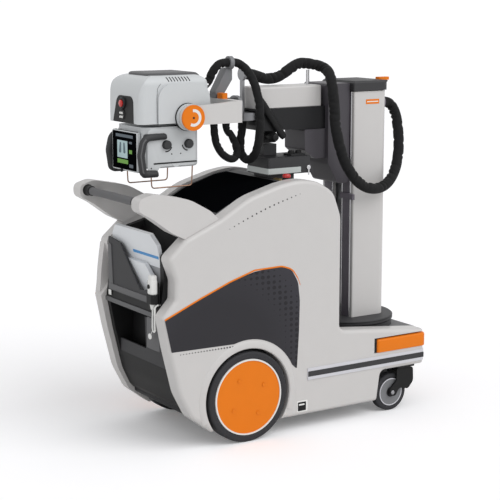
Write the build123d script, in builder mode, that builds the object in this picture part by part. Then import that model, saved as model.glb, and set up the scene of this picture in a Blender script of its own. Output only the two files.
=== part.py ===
from build123d import *

import math
import os

# Mobile x-ray machine, in millimetres. +X is forward, to the column and the bumper,
# +Y is the operator's left hand and +Z is up. The origin lies on the floor, below the
# middle of the machine's length and width.

# Overall body
BODY_HALF_WIDTH = 276.0
PANEL_THICKNESS = 64.0
PANEL_IN = BODY_HALF_WIDTH - PANEL_THICKNESS
CORE_HALF = PANEL_IN
EDGE_ROUND = 16.0
BUMPER_ROUND = 5.0
FRONT_X = 645.0
DECK_Z = 330.0
SKIRT_Z = 62.0
NOSE_Z = 184.0
HUMP_FRONT_X = 222.0
NOTCH_BACK_X = 390.0
NOTCH_LOW_Z = 260.0
NOTCH_HIGH_Z = 321.0
NOTCH_DEPTH = 40.0
RUB_BACK_X = 65.0
RUB_LOW_Z = 201.0
RUB_HIGH_Z = 247.0

# Drive wheels
WHEEL_X = -207.0
WHEEL_RADIUS = 175.0
TYRE_WIDTH = 58.0
TYRE_OUT = BODY_HALF_WIDTH + 4
RIM_RADIUS = 146.0
ARCH_GAP = 12.0
AXLE_RADIUS = 15.0
AXLE_FIT = 0.05
AXLE_REACH = 32.0

# Casters
CASTER_X = 564.0
CASTER_Y = BODY_HALF_WIDTH - 54
CASTER_RADIUS = 77.0
CASTER_WIDTH = 38.0
CASTER_RIM = 56.0
CASTER_TRAIL = 60.0
CASTER_FORK_TOP = 172.0
CASTER_LEG = 8.0
CASTER_SIDE_GAP = 5.0
CASTER_PIN = 6.0
CASTER_TOP_GAP = 5.0
STEM_RADIUS = 10.0
STEM_REACH = 14.0

# Handle arms
ARM_PLATE_IN = BODY_HALF_WIDTH - 72
ARM_PLATE = 58.0
GRIP_X = -622.0
GRIP_Z = 938.0
GRIP_RADIUS = 15.0

# Rear bay and bin
BAY_HALF = CORE_HALF - 26
BAY_FLOOR_Z = 548.0
BIN_FLOOR_Z = 300.0
BIN_TOP_Z = 500.0
BIN_FRONT_THICK = 8.0
DETECTOR_THICK = 15.0

# Turning column
COLUMN_AXIS_X = 448.0
TURNTABLE_RADIUS = 195.0
TURNTABLE_BASE_TOP = 352.0
TURNTABLE_Z = 357.0
COLUMN_FOOT_Z = 373.0
COLUMN_TOP_Z = 1288.0
COLUMN_BACK_X = 403.0
COLUMN_FRONT_X = 573.0
COLUMN_HALF_WIDTH = 105.0
COLUMN_WALL = 14.0
COLUMN_ROUND = 34.0
COLUMN_SLOT_HALF = 30.0
MAST_GAP = 6.0
CAP_GAP = 3.0
CAP_THICKNESS = 36.0
MAST_FOOT_Z = 560.0
NECK_HIGH_Z = COLUMN_TOP_Z - 8
NECK_LOW_Z = NECK_HIGH_Z - 280
GLAND_Y = -50.0
GLAND_Z = 1238.0
GLAND_LENGTH = 10.0
SEAT_GAP = 0.3

# Carriage and telescopic arm
CARRIAGE_BACK_X = 292.0
CARRIAGE_FRONT_X = 396.0
CARRIAGE_HALF = 84.0
CARRIAGE_LOW_Z = 925.0
CARRIAGE_TOP_Z = 1322.0
NECK_HALF = 22.0
ARM_BACK_X = -28.0
ARM_HALF = 62.0
ARM_LOW_Z = 1178.0
ARM_SPLIT_Z = ARM_LOW_Z + 57
ARM_TOP_Z = ARM_SPLIT_Z + 83
ARM_WALL = 9.0
INNER_GAP = 5.0
INNER_END_X = -80.0
INNER_TAIL_X = 380.0
BEAM_LOW_Z = 1150.0
COWL_TOP_Z = 1146.0
CRADLE_X = -34.0
CRADLE_Z = 1366.0
HOSE_POST_TOP_Z = 1375.0
FLANGE_THICK = 14.0

# Docking post on top of the body
POST_X = 54.0
POST_TOP_Z = 1094.0
BOX_TOP_Z = 1050.0
DOCK_GAP = 6.0
DOCK_HALF = 28.0

# Yoke, tube head and collimator
ROLL_Z = 1240.0
TILT_X = -379.0
TILT_Z = 1228.0
YOKE_INNER = 153.0
YOKE_PLATE = 17.0
YOKE_LOW_Z = 1200.0
YOKE_HIGH_Z = 1282.0
YOKE_FRONT_X = -165.0
YOKE_BAR = 25.0
YOKE_HUB_RADIUS = 48.0
ROLL_GAP = 5.0
PIVOT_RADIUS = 47.0
PIVOT_COVER = 8.0
HEAD_REAR_X = -577.0
HEAD_FRONT_X = -270.0
HEAD_HALF = 122.0
HEAD_LOW_Z = 1207.0
HEAD_TOP_Z = 1380.0
HEAD_ROUND = 34.0
COLLIMATOR_X = -429.0
COLLIMATOR_HALF_X = 118.0
COLLIMATOR_HALF_Y = 112.0
COLLIMATOR_ROUND = 35.0
COLLIMATOR_LOW_Z = 1043.0
COLLIMATOR_TOP_Z = 1194.0
TURN_GAP = 5.0
GRIP_THICK = 22.0
SIDE_PLATE = 9.0
TILT_PIN = 12.0
WIRE_RADIUS = 2.5
WIRE_Y = 92.0
WIRE_Z = 969.5
CLAMP_Z = 1414.0
LOOP_END_Z = 1188.0

HOSE_RADIUS = 22.0
HEAD_HOSE_RADIUS = 17.0
LOOP_RADIUS = 15.0
SWITCH_CORD_RADIUS = 3.5
RUN_SHARE = 0.45

# Hand switch
SWITCH_X = -564.0
SWITCH_Y = -187.0
SWITCH_NECK = 11.0
SWITCH_LOW_Z = 538.0
HOLDER_LOW_Z = 562.0
HOLDER_HIGH_Z = 596.0


def save(piece, node):
    """Label a finished piece and write it as its own STEP file."""
    piece.part.label = node
    export_step(piece.part, f"parts/{node}.step")


def plane_y(y):
    """The upright plane at this y, with local x along +X and local y along +Z."""
    return Plane((0, y, 0), x_dir=(1, 0, 0), z_dir=(0, -1, 0))


def plane_rear(x):
    """The upright plane at this x, looked at from behind: local x along -Y."""
    return Plane((x, 0, 0), x_dir=(0, -1, 0), z_dir=(-1, 0, 0))


def rounded(corners):
    """A closed outline of lines and arcs, from rows of across, up and corner radius."""
    points = [(across, up) for across, up, radius in corners]
    radii = [radius for across, up, radius in corners]
    with BuildLine() as outline:
        FilletPolyline(*points, radius=radii, close=True)
    return outline.line


def slab(corners, half):
    """A solid from a rounded outline seen from the side, as wide to both sides."""
    with BuildPart() as piece:
        with BuildSketch(plane_y(0)):
            with BuildLine():
                add(rounded(corners))
            make_face()
        extrude(amount=half, both=True)
    return piece


def block(x_from, x_to, y_from, y_to, z_from, z_to, round_by=0.0):
    """A box between two corners, with its upright edges rounded."""
    with BuildPart() as piece:
        with BuildSketch(Plane.XY.offset(z_from)) as base:
            with Locations(((x_from + x_to) / 2, (y_from + y_to) / 2)):
                Rectangle(x_to - x_from, y_to - y_from)
            if round_by:
                fillet(base.vertices(), round_by)
        extrude(amount=z_to - z_from)
    return piece


def drum(x, z, radius, y_from, y_to):
    """A round solid whose axis runs along Y."""
    with BuildPart() as piece:
        with BuildSketch(plane_y(max(y_from, y_to))):
            with Locations((x, z)):
                Circle(radius)
        extrude(amount=abs(y_to - y_from))
    return piece


def u_band(outer_x, outer_half, inner_x, inner_half, back_x, corner, inner_corner, z_from, z_to):
    """A band that wraps the front: down one side, across the nose and up the other."""
    behind = 2 * corner
    with BuildPart() as piece:
        with BuildSketch(Plane.XY.offset(z_from)):
            with Locations(((back_x - behind + outer_x) / 2, 0)):
                RectangleRounded(outer_x - back_x + behind, 2 * outer_half, corner)
            with Locations(((back_x - behind + inner_x) / 2, 0)):
                if inner_corner:
                    RectangleRounded(inner_x - back_x + behind, 2 * inner_half, inner_corner, mode=Mode.SUBTRACT)
                else:
                    Rectangle(inner_x - back_x + behind, 2 * inner_half, mode=Mode.SUBTRACT)
            with Locations((back_x - behind, 0)):
                Rectangle(2 * behind, 2 * outer_half + 2, mode=Mode.SUBTRACT)
        extrude(amount=z_to - z_from)
    return piece


def hose(points, radius):
    """A hose along straight runs joined by arcs that are as large as the runs allow."""
    route = [Vector(*point) for point in points]
    radii = []
    for before, corner, after in zip(route, route[1:], route[2:]):
        turn = math.radians((corner - before).get_angle(after - corner))
        run = min((corner - before).length, (after - corner).length)
        radii.append(RUN_SHARE * run / math.tan(turn / 2))
    with BuildPart() as piece:
        with BuildLine() as path:
            FilletPolyline(*points, radius=radii)
        with BuildSketch(Plane(path.line @ 0, z_dir=path.line % 0)):
            Circle(radius)
        sweep()
    length = sum(edge.length for edge in path.edges())
    print(f"hose {length:.0f} long, least radius {min(radii):.0f},",
          f"volume ratio {piece.part.volume / (math.pi * radius ** 2 * length):.3f}")
    return piece


os.makedirs("parts", exist_ok=True)

# Structure inside the body
frame_corners = [
    (-430, 118, 20),
    (-360, 75, 30),
    (398, 75, 10),
    (404, 190, 10),
    (592, 190, 3),
    (592, 318, 3),
    (205, 318, 4),
    (205, 366, 4),
    (-430, 366, 10),
]
base_frame = slab(frame_corners, CORE_HALF)
save(base_frame, "base_frame")

power_unit = block(-330, 205, 12 - CORE_HALF, CORE_HALF - 12, 366, 820)
save(power_unit, "power_unit")

# White side panels: x, z and corner radius, clockwise from the skirt's rear end
panel_outline = [
    (-366, SKIRT_Z, 6),
    (-455, 130, 60),
    (-504, 225, 150),
    (-546, 395, 250),
    (-571, 521, 8),
    (-516, 580, 20),
    (-513, 650, 50),
    (-545, 735, 26),
    (-470, 800, 20),
    (-322, 862, 12),
    (-200, 931, 300),
    (-60, 970, 300),
    (30, 984, 260),
    (112, 970, 130),
    (186, 926, 80),
    (HUMP_FRONT_X, 828, 110),
    (HUMP_FRONT_X, 377, 26),
    (FRONT_X, DECK_Z, 14),
    (FRONT_X, NOSE_Z, 8),
    (428, NOSE_Z, 26),
    (410, SKIRT_Z, 10),
]
for side, name in ((-1, "right"), (1, "left")):
    with BuildPart() as side_panel:
        with BuildSketch(plane_y(side * PANEL_IN)):
            with BuildLine():
                add(rounded(panel_outline))
            make_face()
        extrude(amount=-side * PANEL_THICKNESS)
        outer_face = side_panel.faces().sort_by(Axis.Y)[-1 if side > 0 else 0]
        fillet(outer_face.edges(), EDGE_ROUND)
        with BuildSketch(plane_y(side * PANEL_IN)):
            with Locations((WHEEL_X, WHEEL_RADIUS)):
                Circle(WHEEL_RADIUS + ARCH_GAP)
        extrude(amount=-side * PANEL_THICKNESS, mode=Mode.SUBTRACT)
        with BuildSketch(plane_y(side * (BODY_HALF_WIDTH - NOTCH_DEPTH))):
            with BuildLine():
                Polyline(
                    (NOTCH_BACK_X, NOTCH_LOW_Z),
                    (FRONT_X + 1, NOTCH_LOW_Z),
                    (FRONT_X + 1, NOTCH_HIGH_Z),
                    (NOTCH_BACK_X, NOTCH_HIGH_Z),
                    close=True,
                )
            make_face()
        extrude(amount=-side * (NOTCH_DEPTH + 1), mode=Mode.SUBTRACT)
        with BuildSketch(plane_y(side * PANEL_IN)):
            with Locations((FRONT_X - NOTCH_DEPTH / 2 + 1, (NOTCH_LOW_Z + NOTCH_HIGH_Z) / 2)):
                Rectangle(NOTCH_DEPTH + 2, NOTCH_HIGH_Z - NOTCH_LOW_Z)
        extrude(amount=-side * PANEL_THICKNESS, mode=Mode.SUBTRACT)
    save(side_panel, f"side_panel_{name}")

# Handle arms that run back from the top of the body: x, z and corner radius
arm_outline = [
    (-324, 862, 3),
    (-360, 895, 100),
    (-450, 945, 200),
    (-598, 974, 60),
    (-655, 958, 24),
    (-655, 915, 26),
    (-600, 884, 60),
    (-520, 826, 60),
    (-469, 801, 3),
]
for side, name in ((-1, "right"), (1, "left")):
    with BuildPart() as handle_arm:
        with BuildSketch(plane_y(side * ARM_PLATE_IN)):
            with BuildLine():
                add(rounded(arm_outline))
            make_face()
        extrude(amount=-side * ARM_PLATE)
    save(handle_arm, f"handle_arm_{name}")

# Drive handle between the arms
with BuildPart() as drive_handle:
    with BuildSketch(plane_y(ARM_PLATE_IN)):
        with Locations((GRIP_X, GRIP_Z)):
            Circle(GRIP_RADIUS)
        with Locations((GRIP_X + 54, GRIP_Z - 6)):
            Rectangle(30, 12)
    extrude(amount=2 * ARM_PLATE_IN)
save(drive_handle, "drive_handle")

# Dark cover over the top and the front of the hump
cover_corners = [
    (4, 966, 3),
    (30, 975, 60),
    (106, 961, 90),
    (176, 918, 70),
    (212, 828, 90),
    (212, DECK_Z, 2),
    (205.2, DECK_Z, 2),
    (205.2, 820.2, 0.2),
    (4, 820.2, 3),
]
top_cover = slab(cover_corners, CORE_HALF)
save(top_cover, "top_cover")

# Touch display on the slope of the hump
display_corners = [
    (-308, 820.2, 3),
    (3.8, 820.2, 3),
    (3.8, 971, 3),
    (-60, 961, 200),
    (-200, 921, 200),
    (-308, 864, 3),
]
touch_display = slab(display_corners, CORE_HALF - 8)
save(touch_display, "touch_display")

# Rear housing with the detector bay above and the open bin below
housing_corners = [
    (-330.2, 366.2, 4),
    (-330.2, 822, 4),
    (-455, 790, 20),
    (-532, 735, 20),
    (-530, 640, 60),
    (-548, 520, 30),
    (-525, 395, 200),
    (-485, 225, 150),
    (-452, 155, 20),
    (-430.2, 130, 4),
    (-430.2, 366.2, 0.2),
]
with BuildPart() as rear_housing:
    with BuildSketch(plane_y(0)):
        with BuildLine():
            add(rounded(housing_corners))
        make_face()
    extrude(amount=CORE_HALF, both=True)
    with BuildSketch(plane_y(0)):
        with BuildLine():
            Polyline((-620, BAY_FLOOR_Z), (-440, BAY_FLOOR_Z), (-380, 860), (-620, 860), close=True)
        make_face()
    extrude(amount=BAY_HALF, both=True, mode=Mode.SUBTRACT)
    with BuildSketch(plane_y(0)):
        with BuildLine():
            Polyline((-620, BIN_FLOOR_Z), (-450, BIN_FLOOR_Z), (-440, BIN_TOP_Z), (-620, BIN_TOP_Z), close=True)
        make_face()
    extrude(amount=BAY_HALF, both=True, mode=Mode.SUBTRACT)
save(rear_housing, "rear_housing")

# Fronts of the bay and the bin, each with a slanted upper edge, seen from behind
front_upper = [
    (-BAY_HALF, BAY_FLOOR_Z), (BAY_HALF, BAY_FLOOR_Z), (BAY_HALF, 606), (62, 590), (10, 640), (-90, 742),
    (-BAY_HALF, 756),
]
front_lower = [
    (-BAY_HALF, BIN_FLOOR_Z), (BAY_HALF, BIN_FLOOR_Z), (BAY_HALF, 460), (12, 472), (20, 350), (-BAY_HALF, 350),
]
with BuildPart() as bin_fronts:
    for front_x, outline in ((-548, front_upper), (-502, front_lower)):
        with BuildSketch(plane_rear(front_x)):
            with BuildLine():
                Polyline(*outline, close=True)
            make_face()
        extrude(amount=-BIN_FRONT_THICK)
save(bin_fronts, "bin_fronts")

# Flat detectors that lean in the upper bay: node, foot x, head x, head z, half width
detectors = [
    ("detector_large", -476, -530, 808, BAY_HALF - 10),
    ("detector_small", -505, -522, 690, BAY_HALF - 66),
]
for node, foot_x, head_x, head_z, half in detectors:
    lean = Vector(head_x - foot_x, 0, head_z - BAY_FLOOR_Z)
    up = lean.normalized()
    seat_z = BAY_FLOOR_Z + DETECTOR_THICK * abs(up.X) + 0.2
    with BuildPart() as detector:
        with BuildSketch(Plane((foot_x, 0, seat_z), x_dir=(0, -1, 0), z_dir=(-up.Z, 0, up.X))):
            with BuildLine():
                Polyline((-half, 0), (half, 0), (half, lean.length - 40), (half - 40, lean.length),
                         (40 - half, lean.length), (-half, lean.length - 40), close=True)
            make_face()
        extrude(amount=DETECTOR_THICK)
    save(detector, node)

# Hand switch on the right of the bay, with its neck through the holder's ring
with BuildPart() as switch_holder:
    add(block(-580, -548, -208, -164, HOLDER_LOW_Z, HOLDER_HIGH_Z, 8).part)
    with Locations((SWITCH_X, SWITCH_Y, HOLDER_HIGH_Z)):
        Hole(SWITCH_NECK + 0.2)
save(switch_holder, "switch_holder")

with BuildPart() as hand_switch:
    with BuildSketch(Plane.XY.offset(HOLDER_HIGH_Z)):
        with Locations((SWITCH_X, SWITCH_Y)):
            RectangleRounded(26, 32, 9)
    extrude(amount=72)
    fillet(hand_switch.edges().group_by(Axis.Z)[-1], 5)
    with BuildSketch(Plane.XY.offset(SWITCH_LOW_Z)):
        with Locations((SWITCH_X, SWITCH_Y)):
            Circle(SWITCH_NECK)
    extrude(amount=HOLDER_HIGH_Z - SWITCH_LOW_Z)
save(hand_switch, "hand_switch")

# Grey deck and front wall between the side panels, open round the bumper
deck_corners = [
    (HUMP_FRONT_X - 9.8, DECK_Z - 12, 2),
    (HUMP_FRONT_X - 9.8, DECK_Z, 2),
    (FRONT_X, DECK_Z, 6),
    (FRONT_X, NOTCH_HIGH_Z, 2),
    (FRONT_X - NOTCH_DEPTH, NOTCH_HIGH_Z, 2),
    (FRONT_X - NOTCH_DEPTH, NOTCH_LOW_Z, 0.2),
    (FRONT_X, NOTCH_LOW_Z, 3),
    (FRONT_X, NOSE_Z, 8),
    (592.2, NOSE_Z, 3),
    (592.2, DECK_Z - 12, 2),
]
front_deck = slab(deck_corners, CORE_HALF)
save(front_deck, "front_deck")

# Orange bumper and dark rub strip
bumper_band = u_band(
    FRONT_X + 10, TYRE_OUT, FRONT_X - NOTCH_DEPTH + 0.2, BODY_HALF_WIDTH - NOTCH_DEPTH,
    NOTCH_BACK_X + 24, 44, 0, NOTCH_LOW_Z + 0.2, NOTCH_HIGH_Z - 6,
)
with BuildPart() as bumper:
    add(bumper_band.part)
    for level in (0, -1):
        rim = bumper.edges().group_by(Axis.Z)[level]
        outside = rim.filter_by(lambda edge: edge.center().X > FRONT_X or abs(edge.center().Y) > TYRE_OUT - 15)
        fillet(outside, BUMPER_ROUND)
save(bumper, "bumper")

rub_strip = u_band(FRONT_X + 4, TYRE_OUT, FRONT_X, BODY_HALF_WIDTH, RUB_BACK_X, 20, EDGE_ROUND, RUB_LOW_Z, RUB_HIGH_Z)
save(rub_strip, "rub_strip")

# Stub axles of the drive wheels, and the plates and stems of the casters
with BuildPart() as axle_mounts:
    for side in (-1, 1):
        with BuildSketch(plane_y(side * CORE_HALF)):
            with Locations((WHEEL_X, WHEEL_RADIUS)):
                Circle(AXLE_RADIUS)
        extrude(amount=-side * AXLE_REACH)
        with BuildSketch(Plane.XY.offset(CASTER_FORK_TOP + CASTER_TOP_GAP)):
            with Locations((CASTER_X, side * CASTER_Y)):
                Rectangle(84, 84)
        extrude(amount=NOSE_Z - CASTER_FORK_TOP - CASTER_TOP_GAP)
        with BuildSketch(Plane.XY.offset(CASTER_FORK_TOP + CASTER_TOP_GAP)):
            with Locations((CASTER_X, side * CASTER_Y)):
                Circle(STEM_RADIUS)
        extrude(amount=-STEM_REACH)
save(axle_mounts, "axle_mounts")

# Drive wheels: tyre and orange disc cover
for side, name in ((-1, "right"), (1, "left")):
    with BuildPart() as drive_tyre:
        with BuildSketch(Plane.YZ.offset(WHEEL_X)):
            with Locations((side * (TYRE_OUT - TYRE_WIDTH / 2), (WHEEL_RADIUS + RIM_RADIUS) / 2 + WHEEL_RADIUS)):
                RectangleRounded(TYRE_WIDTH, WHEEL_RADIUS - RIM_RADIUS, 9)
        revolve(axis=Axis((WHEEL_X, 0, WHEEL_RADIUS), (0, 1, 0)))
    save(drive_tyre, f"drive_tyre_{name}")
    with BuildPart() as drive_disc:
        with BuildSketch(plane_y(side * (TYRE_OUT - TYRE_WIDTH + 4))):
            with Locations((WHEEL_X, WHEEL_RADIUS)):
                Circle(RIM_RADIUS)
        extrude(amount=-side * (TYRE_WIDTH - 6))
        fillet(drive_disc.faces().sort_by(Axis.Y)[-1 if side > 0 else 0].edges(), 5)
        with BuildSketch(plane_y(side * CORE_HALF)):
            with Locations((WHEEL_X, WHEEL_RADIUS)):
                Circle(AXLE_RADIUS + AXLE_FIT)
        extrude(amount=-side * (AXLE_REACH + 1), mode=Mode.SUBTRACT)
    save(drive_disc, f"drive_disc_{name}")

# Casters: fork and wheel, the wheel trailing behind the swivel
axle_x = CASTER_X - CASTER_TRAIL
leg_in = CASTER_WIDTH / 2 + CASTER_SIDE_GAP
leg_outline = [
    (axle_x + 20, CASTER_FORK_TOP, 4),
    (CASTER_X + 44, CASTER_FORK_TOP, 12),
    (CASTER_X + 46, 112, 26),
    (CASTER_X + 20, 82, 16),
    (axle_x + 34, 92, 16),
    (axle_x + 16, 62, 10),
    (axle_x - 14, 62, 12),
    (axle_x - 14, 92, 12),
    (axle_x + 22, 124, 20),
]
for side, name in ((-1, "right"), (1, "left")):
    swivel_y = side * CASTER_Y
    with BuildPart() as caster_fork:
        with BuildSketch(Plane.XY.offset(CASTER_FORK_TOP - 14)):
            with Locations((CASTER_X, swivel_y)):
                Circle(leg_in + CASTER_LEG)
        extrude(amount=14)
        for leg in (-1, 1):
            with BuildSketch(plane_y(swivel_y + leg * leg_in)):
                with BuildLine():
                    add(rounded(leg_outline))
                make_face()
            extrude(amount=-leg * CASTER_LEG)
        with BuildSketch(plane_y(swivel_y + leg_in)):
            with Locations((axle_x, CASTER_RADIUS)):
                Circle(CASTER_PIN)
        extrude(amount=2 * leg_in)
        with BuildSketch(Plane.XY.offset(CASTER_FORK_TOP)):
            with Locations((CASTER_X, swivel_y)):
                Circle(STEM_RADIUS + AXLE_FIT)
        extrude(amount=-STEM_REACH, mode=Mode.SUBTRACT)
    save(caster_fork, f"caster_fork_{name}")
    with BuildPart() as caster_wheel:
        with BuildSketch(Plane.YZ.offset(axle_x)):
            with Locations((swivel_y, CASTER_RADIUS + (CASTER_RADIUS + CASTER_RIM) / 2)):
                RectangleRounded(CASTER_WIDTH, CASTER_RADIUS - CASTER_RIM, 7)
        revolve(axis=Axis((axle_x, 0, CASTER_RADIUS), (0, 1, 0)))
        with BuildSketch(plane_y(swivel_y + CASTER_WIDTH / 2 - 3)):
            with Locations((axle_x, CASTER_RADIUS)):
                Circle(CASTER_RIM + 1)
        extrude(amount=CASTER_WIDTH - 6)
        with BuildSketch(plane_y(swivel_y + CASTER_WIDTH / 2)):
            with Locations((axle_x, CASTER_RADIUS)):
                Circle(CASTER_PIN + AXLE_FIT)
        extrude(amount=CASTER_WIDTH, mode=Mode.SUBTRACT)
    save(caster_wheel, f"caster_wheel_{name}")

# Turntable: the ring on the deck and the disc that turns on it
with BuildPart() as turntable_base:
    with BuildSketch(Plane.XY.offset(DECK_Z)):
        with Locations((COLUMN_AXIS_X, 0)):
            Circle(TURNTABLE_RADIUS - 4)
    extrude(amount=TURNTABLE_BASE_TOP - DECK_Z)
save(turntable_base, "turntable_base")

with BuildPart() as turntable:
    with BuildSketch(Plane.XY.offset(TURNTABLE_Z)):
        with Locations((COLUMN_AXIS_X, 0)):
            Circle(TURNTABLE_RADIUS)
    extrude(amount=COLUMN_FOOT_Z - TURNTABLE_Z)
    chamfer(turntable.edges().group_by(Axis.Z)[-1], 4)
    with BuildSketch(Plane.XY.offset(TURNTABLE_BASE_TOP + SEAT_GAP)):
        with Locations((COLUMN_AXIS_X, 0)):
            Circle(TURNTABLE_RADIUS - 30)
    extrude(amount=TURNTABLE_Z - TURNTABLE_BASE_TOP - SEAT_GAP)
save(turntable, "turntable")

# Column sleeve, open at the back where the carriage rides
column_depth = COLUMN_FRONT_X - COLUMN_BACK_X
column_mid_x = (COLUMN_FRONT_X + COLUMN_BACK_X) / 2
with BuildPart() as column:
    with BuildSketch(Plane.XY.offset(COLUMN_FOOT_Z)) as sleeve:
        with Locations((column_mid_x, 0)):
            Rectangle(column_depth, 2 * COLUMN_HALF_WIDTH)
        fillet(sleeve.vertices().group_by(Axis.X)[-1], COLUMN_ROUND)
        fillet(sleeve.vertices().group_by(Axis.X)[0], 6)
        with Locations((column_mid_x, 0)):
            Rectangle(column_depth - 2 * COLUMN_WALL, 2 * (COLUMN_HALF_WIDTH - COLUMN_WALL), mode=Mode.SUBTRACT)
        with Locations((COLUMN_BACK_X + COLUMN_WALL / 2, 0)):
            Rectangle(COLUMN_WALL + 2, 2 * COLUMN_SLOT_HALF, mode=Mode.SUBTRACT)
    extrude(amount=COLUMN_TOP_Z - COLUMN_FOOT_Z)
save(column, "column")

# Dark strips and cable clip on the back of the column, and the hose gland on its front
with BuildPart() as column_trim:
    for side in (-1, 1):
        with BuildSketch(Plane.XY.offset(COLUMN_FOOT_Z)):
            with Locations((COLUMN_BACK_X - 1, side * 60)):
                Rectangle(2, 48)
        extrude(amount=COLUMN_TOP_Z - COLUMN_FOOT_Z)
    with BuildSketch(Plane.XY.offset(858)):
        with Locations((COLUMN_BACK_X - 8, -76)):
            Rectangle(12, 84)
    extrude(amount=22)
    with BuildSketch(Plane.YZ.offset(COLUMN_FRONT_X)):
        with Locations((GLAND_Y, GLAND_Z)):
            Circle(HOSE_RADIUS + 6)
    extrude(amount=GLAND_LENGTH)
save(column_trim, "column_trim")

# Inner mast with the neck that reaches through the slot, and its cap
mast_back_x = COLUMN_BACK_X + COLUMN_WALL + MAST_GAP
mast_front_x = COLUMN_FRONT_X - COLUMN_WALL - MAST_GAP
mast_half = COLUMN_HALF_WIDTH - COLUMN_WALL - MAST_GAP
with BuildPart() as mast:
    with BuildSketch(Plane.XY.offset(MAST_FOOT_Z)) as mast_section:
        with Locations(((mast_back_x + mast_front_x) / 2, 0)):
            Rectangle(mast_front_x - mast_back_x, 2 * mast_half)
        fillet(mast_section.vertices().group_by(Axis.X)[-1], COLUMN_ROUND - COLUMN_WALL)
    extrude(amount=COLUMN_TOP_Z + CAP_GAP - MAST_FOOT_Z)
    with BuildSketch(Plane.XY.offset(NECK_LOW_Z)):
        with Locations(((CARRIAGE_FRONT_X + mast_back_x) / 2, 0)):
            Rectangle(mast_back_x - CARRIAGE_FRONT_X, 2 * NECK_HALF)
    extrude(amount=NECK_HIGH_Z - NECK_LOW_Z)
save(mast, "mast")

cap_top_z = COLUMN_TOP_Z + CAP_GAP + CAP_THICKNESS
with BuildPart() as mast_cap:
    with BuildSketch(Plane.XY.offset(COLUMN_TOP_Z + CAP_GAP)) as cap:
        with Locations((column_mid_x, 0)):
            Rectangle(column_depth + 10, 2 * COLUMN_HALF_WIDTH + 10)
        fillet(cap.vertices().group_by(Axis.X)[-1], COLUMN_ROUND)
        fillet(cap.vertices().group_by(Axis.X)[0], 6)
    extrude(amount=CAP_THICKNESS)
    chamfer(mast_cap.edges().group_by(Axis.Z)[-1], 5)
save(mast_cap, "mast_cap")

cap_lever = block(558, 614, -62, -34, cap_top_z, cap_top_z + 12, 8)
save(cap_lever, "cap_lever")

# Carriage with its cowl, and the blind tunnel that the inner arm slides in
tunnel_half = ARM_HALF - ARM_WALL
tunnel_low = ARM_LOW_Z + ARM_WALL
tunnel_high = ARM_SPLIT_Z - ARM_WALL
tunnel_z = (tunnel_low + tunnel_high) / 2
carriage_outline = [
    (CARRIAGE_FRONT_X, CARRIAGE_LOW_Z, 4),
    (CARRIAGE_FRONT_X, CARRIAGE_TOP_Z, 4),
    (CARRIAGE_BACK_X, CARRIAGE_TOP_Z, 10),
    (CARRIAGE_BACK_X, 1010, 30),
    (CARRIAGE_BACK_X + 50, CARRIAGE_LOW_Z, 20),
]
cowl_outline = [
    (190, 1067, 10),
    (190, COWL_TOP_Z, 6),
    (CARRIAGE_BACK_X + 1, COWL_TOP_Z, 0.2),
    (CARRIAGE_BACK_X + 1, 1030, 0.2),
    (236, 1030, 30),
]
carriage_body = slab(carriage_outline, CARRIAGE_HALF)
cowl_body = slab(cowl_outline, 70)
with BuildPart() as carriage:
    add(carriage_body.part)
    add(cowl_body.part)
    with BuildSketch(Plane.YZ.offset(CARRIAGE_BACK_X)):
        with Locations((0, tunnel_z)):
            Rectangle(2 * tunnel_half, tunnel_high - tunnel_low)
    extrude(amount=INNER_TAIL_X - CARRIAGE_BACK_X + 8, mode=Mode.SUBTRACT)
save(carriage, "carriage")

# Outer arm: dark beam below, white cover on top, and the post that holds the hose
beam_outline = [
    (ARM_BACK_X, ARM_SPLIT_Z, 2),
    (CARRIAGE_BACK_X, ARM_SPLIT_Z, 0.2),
    (CARRIAGE_BACK_X, COWL_TOP_Z, 0.2),
    (186, COWL_TOP_Z, 20),
    (130, BEAM_LOW_Z, 40),
    (-8, BEAM_LOW_Z, 12),
    (ARM_BACK_X, 1172, 8),
]
beam_body = slab(beam_outline, ARM_HALF)
with BuildPart() as arm_beam:
    add(beam_body.part)
    with BuildSketch(Plane.YZ.offset(ARM_BACK_X)):
        with Locations((0, tunnel_z)):
            Rectangle(2 * tunnel_half, tunnel_high - tunnel_low)
    extrude(amount=CARRIAGE_BACK_X - ARM_BACK_X, mode=Mode.SUBTRACT)
save(arm_beam, "arm_beam")

cover_body = block(ARM_BACK_X + 5, 278, 2 - ARM_HALF, ARM_HALF - 2, ARM_SPLIT_Z, ARM_TOP_Z, 10)
with BuildPart() as arm_cover:
    add(cover_body.part)
    fillet(arm_cover.edges().group_by(Axis.Z)[-1], 8)
save(arm_cover, "arm_cover")

with BuildPart() as hose_post:
    with BuildSketch(Plane.XY.offset(ARM_TOP_Z)):
        with Locations((250, 0)):
            Circle(7)
    extrude(amount=HOSE_POST_TOP_Z - ARM_TOP_Z)
save(hose_post, "hose_post")

# Docking foot with its knob below the outer arm, and the latch bar on its side
with BuildPart() as dock_fittings:
    with BuildSketch(Plane.XY.offset(POST_TOP_Z + DOCK_GAP)):
        with Locations((POST_X, 0)):
            RectangleRounded(60, 2 * DOCK_HALF, 6)
    extrude(amount=BEAM_LOW_Z - POST_TOP_Z - DOCK_GAP)
    with BuildSketch(plane_y(-DOCK_HALF)):
        with Locations((POST_X - 12, 1126)):
            Circle(17)
    extrude(amount=62)
    with BuildSketch(plane_y(-ARM_HALF)):
        with Locations((31, 1200)):
            SlotOverall(226, 30, rotation=-53.5)
    extrude(amount=20)
save(dock_fittings, "dock_fittings")

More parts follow.
